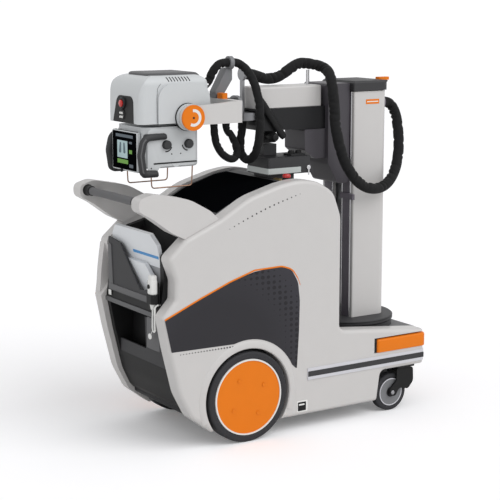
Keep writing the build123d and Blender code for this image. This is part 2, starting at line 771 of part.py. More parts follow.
# Inner arm with its end flange and the cradle that clamps the hose
inner_half = tunnel_half - INNER_GAP
inner_low = tunnel_low + INNER_GAP
inner_high = tunnel_high - INNER_GAP
with BuildPart() as arm_inner:
    with BuildSketch(Plane.YZ.offset(INNER_END_X)):
        with Locations((0, tunnel_z)):
            Rectangle(2 * inner_half, inner_high - inner_low)
    extrude(amount=INNER_TAIL_X - INNER_END_X)
    with BuildSketch(Plane.YZ.offset(INNER_END_X)):
        with Locations((0, ROLL_Z)):
            Circle(YOKE_HUB_RADIUS)
    extrude(amount=-FLANGE_THICK)
    with BuildSketch(Plane.YZ.offset(INNER_END_X - FLANGE_THICK)):
        with Locations((0, ROLL_Z)):
            Circle(AXLE_RADIUS + AXLE_FIT)
    extrude(amount=FLANGE_THICK, mode=Mode.SUBTRACT)
    with BuildSketch(Plane.YZ.offset(CRADLE_X - 12)):
        with Locations((26, (inner_high + CRADLE_Z) / 2)):
            Rectangle(16, CRADLE_Z - inner_high)
        with Locations((26, CRADLE_Z)):
            Circle(HOSE_RADIUS + 3)
    extrude(amount=12)
save(arm_inner, "arm_inner")

# Yoke: two plates and a bar, with a hub that rolls on the inner arm's flange
yoke_outer = YOKE_INNER + YOKE_PLATE
with BuildPart() as yoke:
    for side in (-1, 1):
        with BuildSketch(plane_y(side * YOKE_INNER)):
            with BuildLine():
                Polyline(
                    (TILT_X, TILT_Z - 10),
                    (TILT_X, YOKE_LOW_Z),
                    (YOKE_FRONT_X, YOKE_LOW_Z),
                    (YOKE_FRONT_X, YOKE_HIGH_Z),
                    (TILT_X + 20, TILT_Z + PIVOT_RADIUS - 6),
                    close=True,
                )
            make_face()
            with Locations((TILT_X, TILT_Z)):
                Circle(PIVOT_RADIUS)
                Circle(TILT_PIN + AXLE_FIT, mode=Mode.SUBTRACT)
        extrude(amount=-side * YOKE_PLATE)
    with BuildSketch(plane_y(yoke_outer)):
        with Locations((YOKE_FRONT_X - YOKE_BAR / 2, (YOKE_LOW_Z + YOKE_HIGH_Z) / 2)):
            Rectangle(YOKE_BAR, YOKE_HIGH_Z - YOKE_LOW_Z)
    extrude(amount=2 * yoke_outer)
save(yoke, "yoke")

hub_end_x = INNER_END_X - FLANGE_THICK - ROLL_GAP
with BuildPart() as yoke_hub:
    with BuildSketch(Plane.YZ.offset(YOKE_FRONT_X)):
        with Locations((0, ROLL_Z)):
            Circle(YOKE_HUB_RADIUS - 8)
    extrude(amount=hub_end_x - YOKE_FRONT_X)
    with BuildSketch(Plane.YZ.offset(hub_end_x)):
        with Locations((0, ROLL_Z)):
            Circle(AXLE_RADIUS)
    extrude(amount=ROLL_GAP + FLANGE_THICK - 2)
    with BuildSketch(Plane.XY.offset(LOOP_END_Z)):
        with Locations((-131, 0)):
            Rectangle(38, 40)
    extrude(amount=17)
save(yoke_hub, "yoke_hub")

# Bracket on the yoke with the clamp that the head's hose runs through
bracket_outline = [
    (-190, YOKE_HIGH_Z, 2),
    (-165, YOKE_HIGH_Z, 2),
    (-148, 1304, 10),
    (-116, 1350, 10),
    (-116, 1394, 6),
    (-140, 1394, 8),
    (-172, 1336, 12),
    (-190, 1306, 8),
]
bracket_body = slab(bracket_outline, 22)
with BuildPart() as hose_bracket:
    add(bracket_body.part)
    with BuildSketch(Plane.YZ.offset(-134)):
        with Locations((-20, CLAMP_Z)):
            Circle(25)
    extrude(amount=16)
save(hose_bracket, "hose_bracket")

# Orange covers of the tilt pivots, and the orange lever on the yoke
with BuildPart() as yoke_covers:
    for side in (-1, 1):
        with BuildSketch(plane_y(side * yoke_outer)):
            with Locations((TILT_X, TILT_Z)):
                Circle(PIVOT_RADIUS)
        extrude(amount=-side * PIVOT_COVER)
    with BuildSketch(Plane.XY.offset(YOKE_HIGH_Z)):
        with Locations((-177.5, -50)):
            RectangleRounded(25, 40, 5)
    extrude(amount=21)
save(yoke_covers, "yoke_covers")

# Tube head: the housing with its side plates, tilt pins and hose bosses
head_outline = [
    (HEAD_REAR_X, HEAD_LOW_Z, 6),
    (HEAD_REAR_X + 14, HEAD_TOP_Z, 70),
    (HEAD_FRONT_X - 14, HEAD_TOP_Z, 50),
    (HEAD_FRONT_X, HEAD_LOW_Z, 6),
]
side_plate_outline = [
    (-498, HEAD_LOW_Z, 1),
    (-498, 1352, 60),
    (-284, 1352, 60),
    (-276, HEAD_LOW_Z, 1),
]
hose_bosses = [
    (0, 1326, HEAD_HOSE_RADIUS + 5, -258),
    (-60, 1230, LOOP_RADIUS + 3, -262),
]
head_height = HEAD_TOP_Z - HEAD_LOW_Z
with BuildPart() as tube_housing:
    with BuildSketch(plane_y(0)):
        with BuildLine():
            add(rounded(head_outline))
        make_face()
    extrude(amount=HEAD_HALF, both=True)
    with BuildSketch(Plane.XY.offset(HEAD_LOW_Z)):
        with Locations(((HEAD_REAR_X + HEAD_FRONT_X) / 2, 0)):
            RectangleRounded(HEAD_FRONT_X - HEAD_REAR_X, 2 * HEAD_HALF, HEAD_ROUND)
    extrude(amount=head_height, mode=Mode.INTERSECT)
    with BuildSketch(Plane.YZ.offset(HEAD_REAR_X)):
        with Locations((0, HEAD_LOW_Z + head_height / 2 - HEAD_ROUND)):
            RectangleRounded(2 * HEAD_HALF, head_height + 2 * HEAD_ROUND, HEAD_ROUND)
    extrude(amount=HEAD_FRONT_X - HEAD_REAR_X, mode=Mode.INTERSECT)
    for side in (-1, 1):
        with BuildSketch(plane_y(side * (HEAD_HALF - 30))):
            with BuildLine():
                add(rounded(side_plate_outline))
            make_face()
        extrude(amount=-side * (30 + SIDE_PLATE))
        with BuildSketch(plane_y(side * (HEAD_HALF + SIDE_PLATE))):
            with Locations((TILT_X, TILT_Z)):
                Circle(19)
        extrude(amount=-side * (YOKE_INNER - HEAD_HALF - SIDE_PLATE - TURN_GAP))
        with BuildSketch(plane_y(side * HEAD_HALF)):
            with Locations((TILT_X, TILT_Z)):
                Circle(TILT_PIN)
        extrude(amount=-side * (yoke_outer - HEAD_HALF - 1))
    for boss_y, boss_z, boss_radius, boss_end_x in hose_bosses:
        with BuildSketch(Plane.YZ.offset(-310)):
            with Locations((boss_y, boss_z)):
                Circle(boss_radius)
        extrude(amount=boss_end_x + 310)
save(tube_housing, "tube_housing")

# Dark pad on top of the head, and the collar under it
with BuildPart() as head_trim:
    with BuildSketch(Plane.XY.offset(HEAD_TOP_Z)):
        with Locations((-414, 0)):
            RectangleRounded(152, 140, 20)
    extrude(amount=9)
    with BuildSketch(Plane.XY.offset(COLLIMATOR_TOP_Z + TURN_GAP)):
        with Locations((COLLIMATOR_X, 0)):
            Circle(100)
    extrude(amount=HEAD_LOW_Z - COLLIMATOR_TOP_Z - TURN_GAP)
save(head_trim, "head_trim")

# Collimator with its screen, knobs, grips and guard wires
with BuildPart() as collimator:
    with BuildSketch(Plane.XY.offset(COLLIMATOR_LOW_Z)):
        with Locations((COLLIMATOR_X, 0)):
            RectangleRounded(2 * COLLIMATOR_HALF_X, 2 * COLLIMATOR_HALF_Y, COLLIMATOR_ROUND)
    extrude(amount=COLLIMATOR_TOP_Z - COLLIMATOR_LOW_Z)
    fillet(collimator.edges().group_by(Axis.Z)[0], 12)
    with BuildSketch(Plane.XY.offset(COLLIMATOR_TOP_Z)):
        with Locations((COLLIMATOR_X, 0)):
            Circle(70)
    extrude(amount=TURN_GAP - SEAT_GAP)
save(collimator, "collimator")

collimator_back_x = COLLIMATOR_X - COLLIMATOR_HALF_X
head_screen = block(collimator_back_x - 16, collimator_back_x, -80, 108, 1034, 1176, 5)
save(head_screen, "head_screen")

with BuildPart() as collimator_knobs:
    with BuildSketch(plane_y(-COLLIMATOR_HALF_Y)):
        with Locations((-459, 1129), (-366, 1129)):
            Circle(17)
    extrude(amount=17)
save(collimator_knobs, "collimator_knobs")

grip_outline = [
    (-456, 1173, 8),
    (-588, 1173, 45),
    (-594, 1100, 200),
    (-588, 1012, 45),
    (-500, 1012, 10),
    (-490, 1050, 8),
    (-562, 1050, 20),
    (-566, 1100, 200),
    (-562, 1148, 20),
    (-456, 1148, 8),
]
with BuildPart() as head_grips:
    for side in (-1, 1):
        with BuildSketch(plane_y(side * COLLIMATOR_HALF_Y)):
            with BuildLine():
                add(rounded(grip_outline))
            make_face()
        extrude(amount=-side * GRIP_THICK)
save(head_grips, "head_grips")

with BuildPart() as guard_wires:
    for side in (-1, 1):
        wire_y = side * WIRE_Y
        with BuildLine() as wire:
            FilletPolyline(
                (-513, wire_y, COLLIMATOR_LOW_Z - 0.2),
                (-509, wire_y, WIRE_Z),
                (-340, wire_y, WIRE_Z),
                (-336, wire_y, COLLIMATOR_LOW_Z - 0.2),
                radius=12,
            )
        with BuildSketch(Plane(wire.line @ 0, z_dir=wire.line % 0)):
            Circle(WIRE_RADIUS)
        sweep(path=wire.line)
save(guard_wires, "guard_wires")

# Control box with the docking post, and the stop button, on top of the body
with BuildPart() as control_box:
    with BuildSketch(Plane.XY.offset(985)):
        with Locations((84, -46)):
            RectangleRounded(200, 154, 10)
    extrude(amount=BOX_TOP_Z - 985)
    with BuildSketch(Plane.XY.offset(950)):
        with Locations((60, -46)):
            Rectangle(100, 130)
    extrude(amount=35)
    with BuildSketch(Plane.XY.offset(BOX_TOP_Z)):
        with Locations((POST_X, 0)):
            Rectangle(60, 56)
    extrude(amount=POST_TOP_Z - BOX_TOP_Z)
    add(top_cover.part, mode=Mode.SUBTRACT)
    add(touch_display.part, mode=Mode.SUBTRACT)
save(control_box, "control_box")

with BuildPart() as stop_button:
    with BuildSketch(Plane.XY.offset(940)):
        with Locations((22, -190)):
            Circle(9)
    extrude(amount=48)
    with BuildSketch(Plane.XY.offset(982)):
        with Locations((22, -190)):
            Circle(16)
    extrude(amount=16)
    add(top_cover.part, mode=Mode.SUBTRACT)
save(stop_button, "stop_button")

# Hoses, each along its own route of hand-set points: from the arm to the column,
# along the arm, over the yoke to the head, round the arm's end, and below the head.
# The last is the hand switch's cord, which hangs in a bight and goes into the housing
main_route = [
    (256, -6, 1398), (277, -13, 1394.5), (292, -27, 1389), (299, -48, 1381), (296, -76, 1369),
    (288, -104, 1346), (282, -124, 1308), (282, -136, 1242), (281, -147, 1156), (299, -157, 1068),
    (335, -162, 987), (387, -166, 929), (452, -166, 902), (529, -152, 908), (594, -126, 954),
    (633, -102, 1022), (650, -82, 1096), (652, -68, 1150), (648, -58, 1190), (634, -52, 1222),
    (608, -50, GLAND_Z), (583, -50, GLAND_Z),
]
arm_route = [
    (CRADLE_X, 26, CRADLE_Z), (-2, 26, CRADLE_Z), (40, 24, 1351), (80, 21, 1343), (118, 16, 1349),
    (156, 10, 1371), (196, 5, 1396), (226, 4, 1403), (256, -6, 1398),
]
head_route = [
    (-258, 0, 1326), (-232, 0, 1326), (-210, -4, 1346), (-198, -10, 1378), (-180, -16, 1404),
    (-158, -20, CLAMP_Z), (-134, -20, CLAMP_Z),
]
wrap_route = [
    (-118, -20, CLAMP_Z), (-98, -20, CLAMP_Z), (-81, -27, 1406), (-68, -42, 1391), (-57, -66, 1360),
    (-50, -94, 1310), (-47, -110, 1240), (-47, -112, 1170), (-49, -102, 1104), (-52, -78, 1058),
    (-58, -42, 1038), (-62, -8, 1052), (-62, 8, 1090), (-58, 8, 1132), (-54, 4, 1162),
    (-54, 4, inner_low),
]
loop_route = [
    (-262, -60, 1230), (-245, -60, 1230), (-231, -60, 1222), (-223, -60, 1207), (-221, -60, 1182),
    (-220, -60, 1150), (-212, -60, 1114), (-192, -60, 1080), (-162, -58, 1056), (-128, -50, 1048),
    (-104, -38, 1064), (-100, -24, 1100), (-112, -8, 1136), (-131, 0, 1162), (-131, 0, LOOP_END_Z),
]
switch_route = [
    (SWITCH_X, SWITCH_Y, SWITCH_LOW_Z), (SWITCH_X, SWITCH_Y, 522), (-565, -187, 500), (-566, -188, 476),
    (-565, -188, 463), (-565, -193, 458), (-565, -200, 458), (-565, -205, 463), (-566, -205, 476),
    (-566, -206, 500), (-565.5, -205, 523), (-564.7, -204, 537), (-564.7, -203, 546),
    (-559.9, -203, 553.6), (-551.7, -203, 557.3), (-542.8, -203, 556),
]
hoses = [
    ("hose_main", HOSE_RADIUS, main_route),
    ("hose_arm", HOSE_RADIUS, arm_route),
    ("hose_head", HEAD_HOSE_RADIUS, head_route),
    ("hose_wrap", HEAD_HOSE_RADIUS, wrap_route),
    ("hose_loop", LOOP_RADIUS, loop_route),
    ("switch_cord", SWITCH_CORD_RADIUS, switch_route),
]
for node, radius, route in hoses:
    save(hose(route, radius), node)
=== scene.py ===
"""Looks of the mobile x-ray machine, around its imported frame.

Sizes and places are millimetres in the frame's axes, +X forward and +Z up. Each detail is a numpy
surface: an outline raised from a plane, a profile turned about an axis, or a round section that
follows a path. MM turns them into metres when a piece is built.
"""
import math

import bmesh
import bpy
import numpy as np
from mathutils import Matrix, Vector
from mathutils.bvhtree import BVHTree


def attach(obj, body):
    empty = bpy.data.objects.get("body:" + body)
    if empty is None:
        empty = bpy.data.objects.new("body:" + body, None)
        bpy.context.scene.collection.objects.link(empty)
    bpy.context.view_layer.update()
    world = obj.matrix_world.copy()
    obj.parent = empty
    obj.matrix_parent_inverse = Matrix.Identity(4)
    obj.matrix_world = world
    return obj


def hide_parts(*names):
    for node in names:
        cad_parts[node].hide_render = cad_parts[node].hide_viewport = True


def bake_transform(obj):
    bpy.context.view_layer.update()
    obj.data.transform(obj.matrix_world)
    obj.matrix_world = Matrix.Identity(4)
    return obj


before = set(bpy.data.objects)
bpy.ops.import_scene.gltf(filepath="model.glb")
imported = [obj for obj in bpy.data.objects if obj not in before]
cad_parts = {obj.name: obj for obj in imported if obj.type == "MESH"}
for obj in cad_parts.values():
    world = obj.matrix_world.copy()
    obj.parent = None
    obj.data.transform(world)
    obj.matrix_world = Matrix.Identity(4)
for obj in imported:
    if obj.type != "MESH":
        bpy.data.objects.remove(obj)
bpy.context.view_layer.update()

MM = 0.001
X, Y, Z = np.eye(3)
SKIN = 0.5  # height of a laid-on piece over its face

# Distances of side faces and other places from the machine's middle plane
BODY_SIDE = 276.0
WHEEL_SIDE = 280.0
RUB_SIDE = 280.0
NOTCH_SIDE = 236.0
HEAD_SIDE = 122.0
HEAD_PLATE_SIDE = 131.0
COLLIMATOR_SIDE = 112.0
GRIP_SIDE = 123.0
COVER_SIDE = 178.0
COLUMN_SIDE = 105.0
BOX_SIDE = 125.0
ARM_SIDE = 60.0
DOCK_SIDE = 27.5
CASTER_MIDDLE = 222.0

# Places in x and z
WHEEL = (-207.0, 175.0)
PIVOT = (-379.0, 1228.0)
KNOBS = ((-459.0, 1129.0), (-366.0, 1129.0))
CASTER_AXLE = (504.0, 77.0)
HANDLE = (-622.0, 938.0)

# Places in x and y
HAND_SWITCH = (-564.0, -187.0)
STOP_BUTTON = (22.0, -190.0)
TURNTABLE = (448.0, 0.0)

# Places in y and z, and the edges of the screen's glass
RELEASE_BUTTON = (2.0, 1278.0)
TURN_BUTTON = (2.0, 1236.0)
SCREEN = (-79.0, 106.0, 1033.0, 1172.0)

# Rear faces
HEAD_BACK = -577.0
BUTTONS_BACK = -572.0
SCREEN_BACK = -563.0
BAY_BACK = -548.0

# Levels
TURNTABLE_TOP = 357.0
STOP_BASE = 970.0
BOX_TOP = 1050.0
ABOVE_COVER = 1100.0  # a piece starts here before it is laid on the cover


# Materials

def linear(hex_colour):
    """A hex sRGB colour as linear RGBA."""
    parts = [int(hex_colour[i:i + 2], 16) / 255 for i in (1, 3, 5)]
    return [((c + 0.055) / 1.055) ** 2.4 if c > 0.04045 else c / 12.92 for c in parts] + [1.0]


def put(tree, kind, settings=None, wires=None):
    """Adds a node. A setting is one of its properties or the value of an input."""
    node = tree.nodes.new(kind)
    for key, value in (settings or {}).items():
        if isinstance(key, str) and key in node.bl_rna.properties:
            setattr(node, key, value)
        else:
            node.inputs[key].default_value = value
    for key, socket in (wires or {}).items():
        tree.links.new(socket, node.inputs[key])
    return node


def blank(name):
    """A new material with an empty tree."""
    material = bpy.data.materials.new(name)
    material.use_nodes = True
    material.node_tree.nodes.clear()
    return material, material.node_tree


def scaled(colour, factor):
    """A linear colour made lighter or darker."""
    return [min(1.0, c * factor) for c in colour[:3]] + [1.0]


DRIFT_SIZE = 70.0  # size of the slow changes in shade and gloss
THREAD_SPACING = 2.4
DOT_STEPS = (26.0, 22.0)
DOT_ARC = (-330.0, 330.0, 350.0, 75.0)  # x and z of its middle, its radius and half its width


def finish(name, colour, roughness, grain=1.0, relief=0.02, drift=0.03, spread=0.05, stretch=(1, 1, 1),
           metallic=0.0, coat=0.0, glow=0.0, shine=0.5):
    """A surface whose relief is a grain of that size in mm, and whose shade and gloss drift slowly."""
    material, tree = blank(name)
    place = put(tree, "ShaderNodeTexCoord").outputs["Object"]
    drawn = put(tree, "ShaderNodeMapping", {"Scale": stretch}, {"Vector": place}).outputs[0]
    fine = put(tree, "ShaderNodeTexNoise", {"Scale": 1 / (grain * MM), "Detail": 3.0}, {"Vector": drawn})
    slow = put(tree, "ShaderNodeTexNoise", {"Scale": 1 / (DRIFT_SIZE * MM), "Detail": 2.0}, {"Vector": drawn})
    base = linear(colour)
    shade = put(tree, "ShaderNodeMix",
                {"data_type": "RGBA", 6: scaled(base, 1 - drift), 7: scaled(base, 1 + drift)},
                {0: slow.outputs[0]})
    gloss = put(tree, "ShaderNodeMapRange", {"To Min": roughness - spread, "To Max": roughness + spread},
                {"Value": fine.outputs[0]})
    bump = put(tree, "ShaderNodeBump", {"Strength": 0.6, "Distance": relief * MM},
               {"Height": fine.outputs[0]})
    shader = put(tree, "ShaderNodeBsdfPrincipled",
                 {"Metallic": metallic, "Coat Weight": coat, "Coat Roughness": 0.12,
                  "Emission Strength": glow, "Specular IOR Level": shine},
                 {"Base Color": shade.outputs[2], "Roughness": gloss.outputs[0], "Normal": bump.outputs[0]})
    if glow:
        tree.links.new(shade.outputs[2], shader.inputs["Emission Color"])
    put(tree, "ShaderNodeOutputMaterial", wires={"Surface": shader.outputs[0]})
    return material


def woven_sleeve():
    """Black nylon sleeve. Two diagonal sets of threads, drawn 2.4 mm apart so that they show, follow the
    tube's UV map in metres: a coarse, dull cloth whose folds catch a faint light. Its colour is painted
    lighter where the threads stand high and darker between them, as painted highlight and shade."""
    material, tree = blank("black_woven_nylon")
    uv = put(tree, "ShaderNodeTexCoord").outputs["UV"]
    waves = []
    for angle in (math.pi / 4, -math.pi / 4):
        turned_map = put(tree, "ShaderNodeMapping", {"Rotation": (0, 0, angle)}, {"Vector": uv})
        wave = put(tree, "ShaderNodeTexWave", {"Scale": 1 / (THREAD_SPACING * MM * 6.28), "Distortion": 0.4},
                   {"Vector": turned_map.outputs[0]})
        waves.append(wave.outputs[1])
    threads = put(tree, "ShaderNodeMath", {"operation": "MAXIMUM"}, {0: waves[0], 1: waves[1]})
    cloth = put(tree, "ShaderNodeTexNoise", {"Scale": 1 / (14 * MM), "Detail": 4.0}, {"Vector": uv})
    height = put(tree, "ShaderNodeMath", {"operation": "MULTIPLY_ADD", 1: 0.35},
                 {0: threads.outputs[0], 2: cloth.outputs[0]})
    bump = put(tree, "ShaderNodeBump", {"Strength": 0.5, "Distance": 0.9 * MM},
               {"Height": height.outputs[0]})
    # Painted highlight and shade: lighter where the weave stands high, darker in its hollows.
    shade = put(tree, "ShaderNodeMix", {"data_type": "RGBA", 6: linear("#0d0d0e"), 7: linear("#1d1d1e")},
                {0: height.outputs[0]})
    shader = put(tree, "ShaderNodeBsdfPrincipled",
                 {"Roughness": 0.85, "Sheen Weight": 0.04, "Specular IOR Level": 0.22},
                 {"Base Color": shade.outputs[2], "Normal": bump.outputs[0]})
    put(tree, "ShaderNodeOutputMaterial", wires={"Surface": shader.outputs[0]})
    return material


def printed_film():
    """Charcoal film of the side graphic, satin and even. Dark dots stand on a grid of 26 by 22 mm in an arc:
    their radius is greatest 350 mm from the point (-330, 330) and falls to nothing 75 mm to either side."""
    middle_x, middle_z, radius, reach_out = (value * MM for value in DOT_ARC)
    material, tree = blank("charcoal_printed_film")
    place = put(tree, "ShaderNodeTexCoord").outputs["Object"]
    flat = put(tree, "ShaderNodeVectorMath", {"operation": "MULTIPLY", 1: (1, 0, 1)}, {0: place}).outputs[0]
    steps = (DOT_STEPS[0] * MM, 1, DOT_STEPS[1] * MM)
    cell = put(tree, "ShaderNodeVectorMath", {"operation": "DIVIDE", 1: steps}, {0: flat})
    share = put(tree, "ShaderNodeVectorMath", {"operation": "FRACTION"}, {0: cell.outputs[0]})
    from_dot = put(tree, "ShaderNodeVectorMath", {"operation": "DISTANCE", 1: (0.5, 0, 0.5)},
                   {0: share.outputs[0]}).outputs["Value"]
    reach = put(tree, "ShaderNodeVectorMath", {"operation": "DISTANCE", 1: (middle_x, 0, middle_z)},
                {0: flat}).outputs["Value"]
    beyond = put(tree, "ShaderNodeMath", {"operation": "SUBTRACT", 1: radius}, {0: reach})
    away = put(tree, "ShaderNodeMath", {"operation": "ABSOLUTE"}, {0: beyond.outputs[0]})
    size = put(tree, "ShaderNodeMapRange",
               {"From Min": 0.0, "From Max": reach_out, "To Min": 0.36, "To Max": 0.0},
               {"Value": away.outputs[0]})
    dot = put(tree, "ShaderNodeMath", {"operation": "LESS_THAN"}, {0: from_dot, 1: size.outputs[0]})
    tone = put(tree, "ShaderNodeMapRange", {"From Min": 0.22, "From Max": 0.46}, {"Value": reach})
    base = put(tree, "ShaderNodeMix",
               {"data_type": "RGBA", 6: linear("#302f33"), 7: linear("#3b3a40")}, {0: tone.outputs[0]})
    shade = put(tree, "ShaderNodeMix", {"data_type": "RGBA", 7: linear("#28272b")},
                {0: dot.outputs[0], 6: base.outputs[2]})
    grain = put(tree, "ShaderNodeTexNoise", {"Scale": 1 / (2 * MM)}, {"Vector": place})
    gloss = put(tree, "ShaderNodeMapRange", {"To Min": 0.42, "To Max": 0.52}, {"Value": grain.outputs[0]})
    shader = put(tree, "ShaderNodeBsdfPrincipled", {"Specular IOR Level": 0.2},
                 {"Base Color": shade.outputs[2], "Roughness": gloss.outputs[0]})
    put(tree, "ShaderNodeOutputMaterial", wires={"Surface": shader.outputs[0]})
    return material


# Powder coat on steel and moulded covers: warm white, a fine orange peel under a faint clear gloss
WHITE = finish("white_powder_coat", "#c9c7c6", 0.45, grain=1.4, relief=0.03, drift=0.02, coat=0.15)
# Moulded ABS of the tube head: cooler than the body, soft and even
HEAD_WHITE = finish("cool_white_abs", "#c8cbcd", 0.48, grain=1.2, relief=0.03, drift=0.02, coat=0.1)
# Through-coloured ABS trim: strong colour with little gloss
ORANGE = finish("orange_abs", "#e67a12", 0.42, grain=1.2, relief=0.03, drift=0.03, shine=0.22)
# Moulded ABS with a fine grain: dark grey, nearly matt
DARK = finish("dark_grey_abs", "#38383a", 0.55, grain=0.9, relief=0.05, shine=0.3)
# The same grained ABS, a step lighter
MID_GREY = finish("mid_grey_abs", "#58585a", 0.52, grain=0.9, relief=0.05)
# Textured paint on the deck: a deeper grain that stays matt
DECK_GREY = finish("grey_textured_paint", "#5f5f61", 0.55, grain=0.8, relief=0.07)
# Silver paint with a little metal in it: a soft bright line along the rub strip
STRIP_SILVER = finish("silver_painted_strip", "#d2d2d8", 0.32, grain=0.8, relief=0.02, metallic=0.25)
# Anodised strip, brushed upwards: dark violet grey
VIOLET = finish("violet_grey_anodised_strip", "#6c6671", 0.45, grain=0.5, stretch=(1, 1, 0.05))
# Moulded black plastic: deep, with a dull gleam on its edges
BLACK = finish("black_moulded_plastic", "#151516", 0.5, grain=0.8, relief=0.04, shine=0.25)
# Black paint on steel frames: a little lighter and coarser than the plastic
STEEL_BLACK = finish("black_painted_steel", "#202022", 0.5, grain=1.2, relief=0.04, shine=0.25)
# Tyre rubber: charcoal, dry and uneven
RUBBER = finish("black_tyre_rubber", "#26262a", 0.75, grain=1.5, relief=0.10, drift=0.08)
# Overmoulded soft grip: charcoal, with no hard highlight
SOFT_GRIP = finish("charcoal_soft_grip", "#2a2b2d", 0.6, grain=0.5, relief=0.05, drift=0.06)
# Rubber pad: mid grey, pebbled and dull
PAD = finish("grey_rubber_pad", "#5a5a5c", 0.62, grain=0.8, relief=0.08, drift=0.05)
# Cover glass with an anti-glare face: black from every side, without a reflection
GLASS = finish("black_cover_glass", "#07080a", 0.34, grain=30, relief=0.002, spread=0.03, shine=0.0)
# Chrome plate: bright and smooth
CHROME = finish("chrome_trim", "#d5d5d8", 0.2, grain=0.5, relief=0.004, metallic=1.0)
# Steel brushed along its height: streaked highlights
STEEL = finish("brushed_steel", "#a9a9ad", 0.32, grain=0.6, relief=0.01, stretch=(1, 1, 0.06), metallic=1.0)
# Satin aluminium profile: light grey with long soft highlights
SATIN = finish("satin_aluminium", "#9a9b9e", 0.4, grain=0.7, relief=0.01, stretch=(1, 1, 0.05), metallic=0.7)
# Plated steel wire: a warm brown glint
COPPER = finish("copper_brown_steel_wire", "#9b7b68", 0.3, grain=0.8, relief=0.01, metallic=0.9)
# Brass strip, slightly dulled
BRASS = finish("brass_strip", "#a8915c", 0.35, grain=0.6, relief=0.01, metallic=0.8)
# Painted shell of the detectors: cold white and clean
SHELL = finish("white_detector_shell", "#dfe2e6", 0.35, grain=0.9, relief=0.02, drift=0.02, coat=0.2)
# Printed film on the large detector: clear blue, flat
BLUE = finish("blue_stripe_film", "#3f8ecb", 0.4, grain=1.5, relief=0.01)
# Push button: glossy red under a clear coat
RED = finish("red_push_button", "#c01812", 0.25, grain=2.0, relief=0.01, coat=0.5)
# Moulded polycarbonate: near white with a soft gloss
LIGHT = finish("white_polycarbonate", "#e4e4e2", 0.35, grain=0.8, relief=0.02, drift=0.02, coat=0.2)
# Paint on cast metal: mid grey and slightly rough
CASTER = finish("grey_cast_paint", "#77787b", 0.5, grain=1.0, relief=0.06)
# Light strip, unlit: pale and milky behind a clear face
MINT = finish("mint_light_strip", "#c6cccb", 0.3, grain=1.5, relief=0.01, coat=0.4)
# Lit picture on the screen: pale grey blue, faintly glowing
PICTURE = finish("lit_screen_picture", "#9db3b6", 0.3, grain=3.0, relief=0.0, drift=0.15, glow=0.2,
                 shine=0.2)
# Darker tone of the picture: slate blue, faintly glowing
SHADOWS = finish("lit_screen_dark_tone", "#3c5560", 0.3, grain=3.0, relief=0.0, drift=0.15, glow=0.1)
# Dark fields of the screen: slate grey, faintly lit
BAR = finish("lit_screen_bar", "#35424c", 0.3, grain=3.0, relief=0.0, glow=0.3)
# Lit green fields of the screen: leaf green, evenly lit
GREEN = finish("lit_screen_green", "#5f9136", 0.3, grain=3.0, relief=0.0, drift=0.05, glow=0.2, shine=0.2)
# Lacquer of the carriage: dark grey with a violet cast, satin
CARRIAGE_GREY = finish("satin_grey_lacquer", "#434046", 0.5, grain=0.8, relief=0.02)
SLEEVE = woven_sleeve()
FILM = printed_film()


# Shapes

def plane(origin, across, up, out):
    """A drawing plane: its origin in mm and its three directions."""
    return np.array(origin, float), across, up, out


def side(sign, distance):
    """The plane of a side face. Its coordinates are x, z and the height off the face."""
    return plane(sign * distance * Y, X, Z, sign * Y)


def top(z):
    """A level plane. Its coordinates are x, y and the height above it."""
    return plane(z * Z, X, Y, Z)


def behind(x):
    """A plane that faces back. Its coordinates are y, z and the height behind it."""
    return plane(x * X, Y, Z, -X)


def ahead(x):
    """A plane that faces forward. Its coordinates are y, z and the height in front of it."""
    return plane(x * X, Y, Z, X)


def lift(where, flat, height):
    """Points of a flat outline, placed on a plane at a height."""
    origin, across, up, out = where
    height = np.broadcast_to(np.asarray(height, float), len(flat))
    return origin + flat[:, :1] * across + flat[:, 1:2] * up + height[:, None] * out


def rounded(rows, step=14.0):
    """Outline through corner rows of across, up and radius: at each corner a circular arc that leaves
    both sides at the same distance, radius times the tangent of half the turn."""
    rows = [np.array(row, float) for row in rows]
    points = []
    for before, here, after in zip(rows[-1:] + rows[:-1], rows, rows[1:] + rows[:1]):
        radius = here[2]
        if radius <= 0:
            points.append(here[:2])
            continue
        a, b = before[:2] - here[:2], after[:2] - here[:2]
        long_a, long_b = np.linalg.norm(a), np.linalg.norm(b)
        a, b = a / long_a, b / long_b
        half = math.acos(np.clip(a @ b, -1, 1)) / 2
        reach = min(radius / math.tan(half), 0.49 * long_a, 0.49 * long_b)
        radius = reach * math.tan(half)
        middle = here[:2] + (a + b) / np.linalg.norm(a + b) * (radius / math.sin(half))
        turn = math.pi - 2 * half
        count = max(2, int(math.degrees(turn) / step) + 1)
        start = here[:2] + a * reach - middle
        sign = 1 if start[1] * a[0] - start[0] * a[1] > 0 else -1
        for share in np.linspace(0, sign * turn, count + 1):
            c, s = math.cos(share), math.sin(share)
            points.append(middle + [start[0] * c - start[1] * s, start[0] * s + start[1] * c])
    return np.array(points)


def oblong(low_u, high_u, low_v, high_v, radius=0.0):
    """A rectangle with rounded corners."""
    return rounded([(low_u, low_v, radius), (high_u, low_v, radius), (high_u, high_v, radius),
                    (low_u, high_v, radius)])


def disc(u, v, radius, count=32):
    """A circle."""
    turn = np.arange(count) * 2 * math.pi / count
    return np.stack([u + radius * np.cos(turn), v + radius * np.sin(turn)], 1)


def arc(u, v, radius, start, end, count=24):
    """Points along a circle between two angles in degrees."""
    turn = np.radians(np.linspace(start, end, count))
    return np.stack([u + radius * np.cos(turn), v + radius * np.sin(turn)], 1)


def ribbon(line, width):
    """The outline of a band of that width along an open line."""
    line = np.asarray(line, float)
    along = np.gradient(line, axis=0)
    along /= np.linalg.norm(along, axis=1)[:, None]
    normal = np.stack([-along[:, 1], along[:, 0]], 1) * width / 2
    return np.concatenate([line + normal, (line - normal)[::-1]])


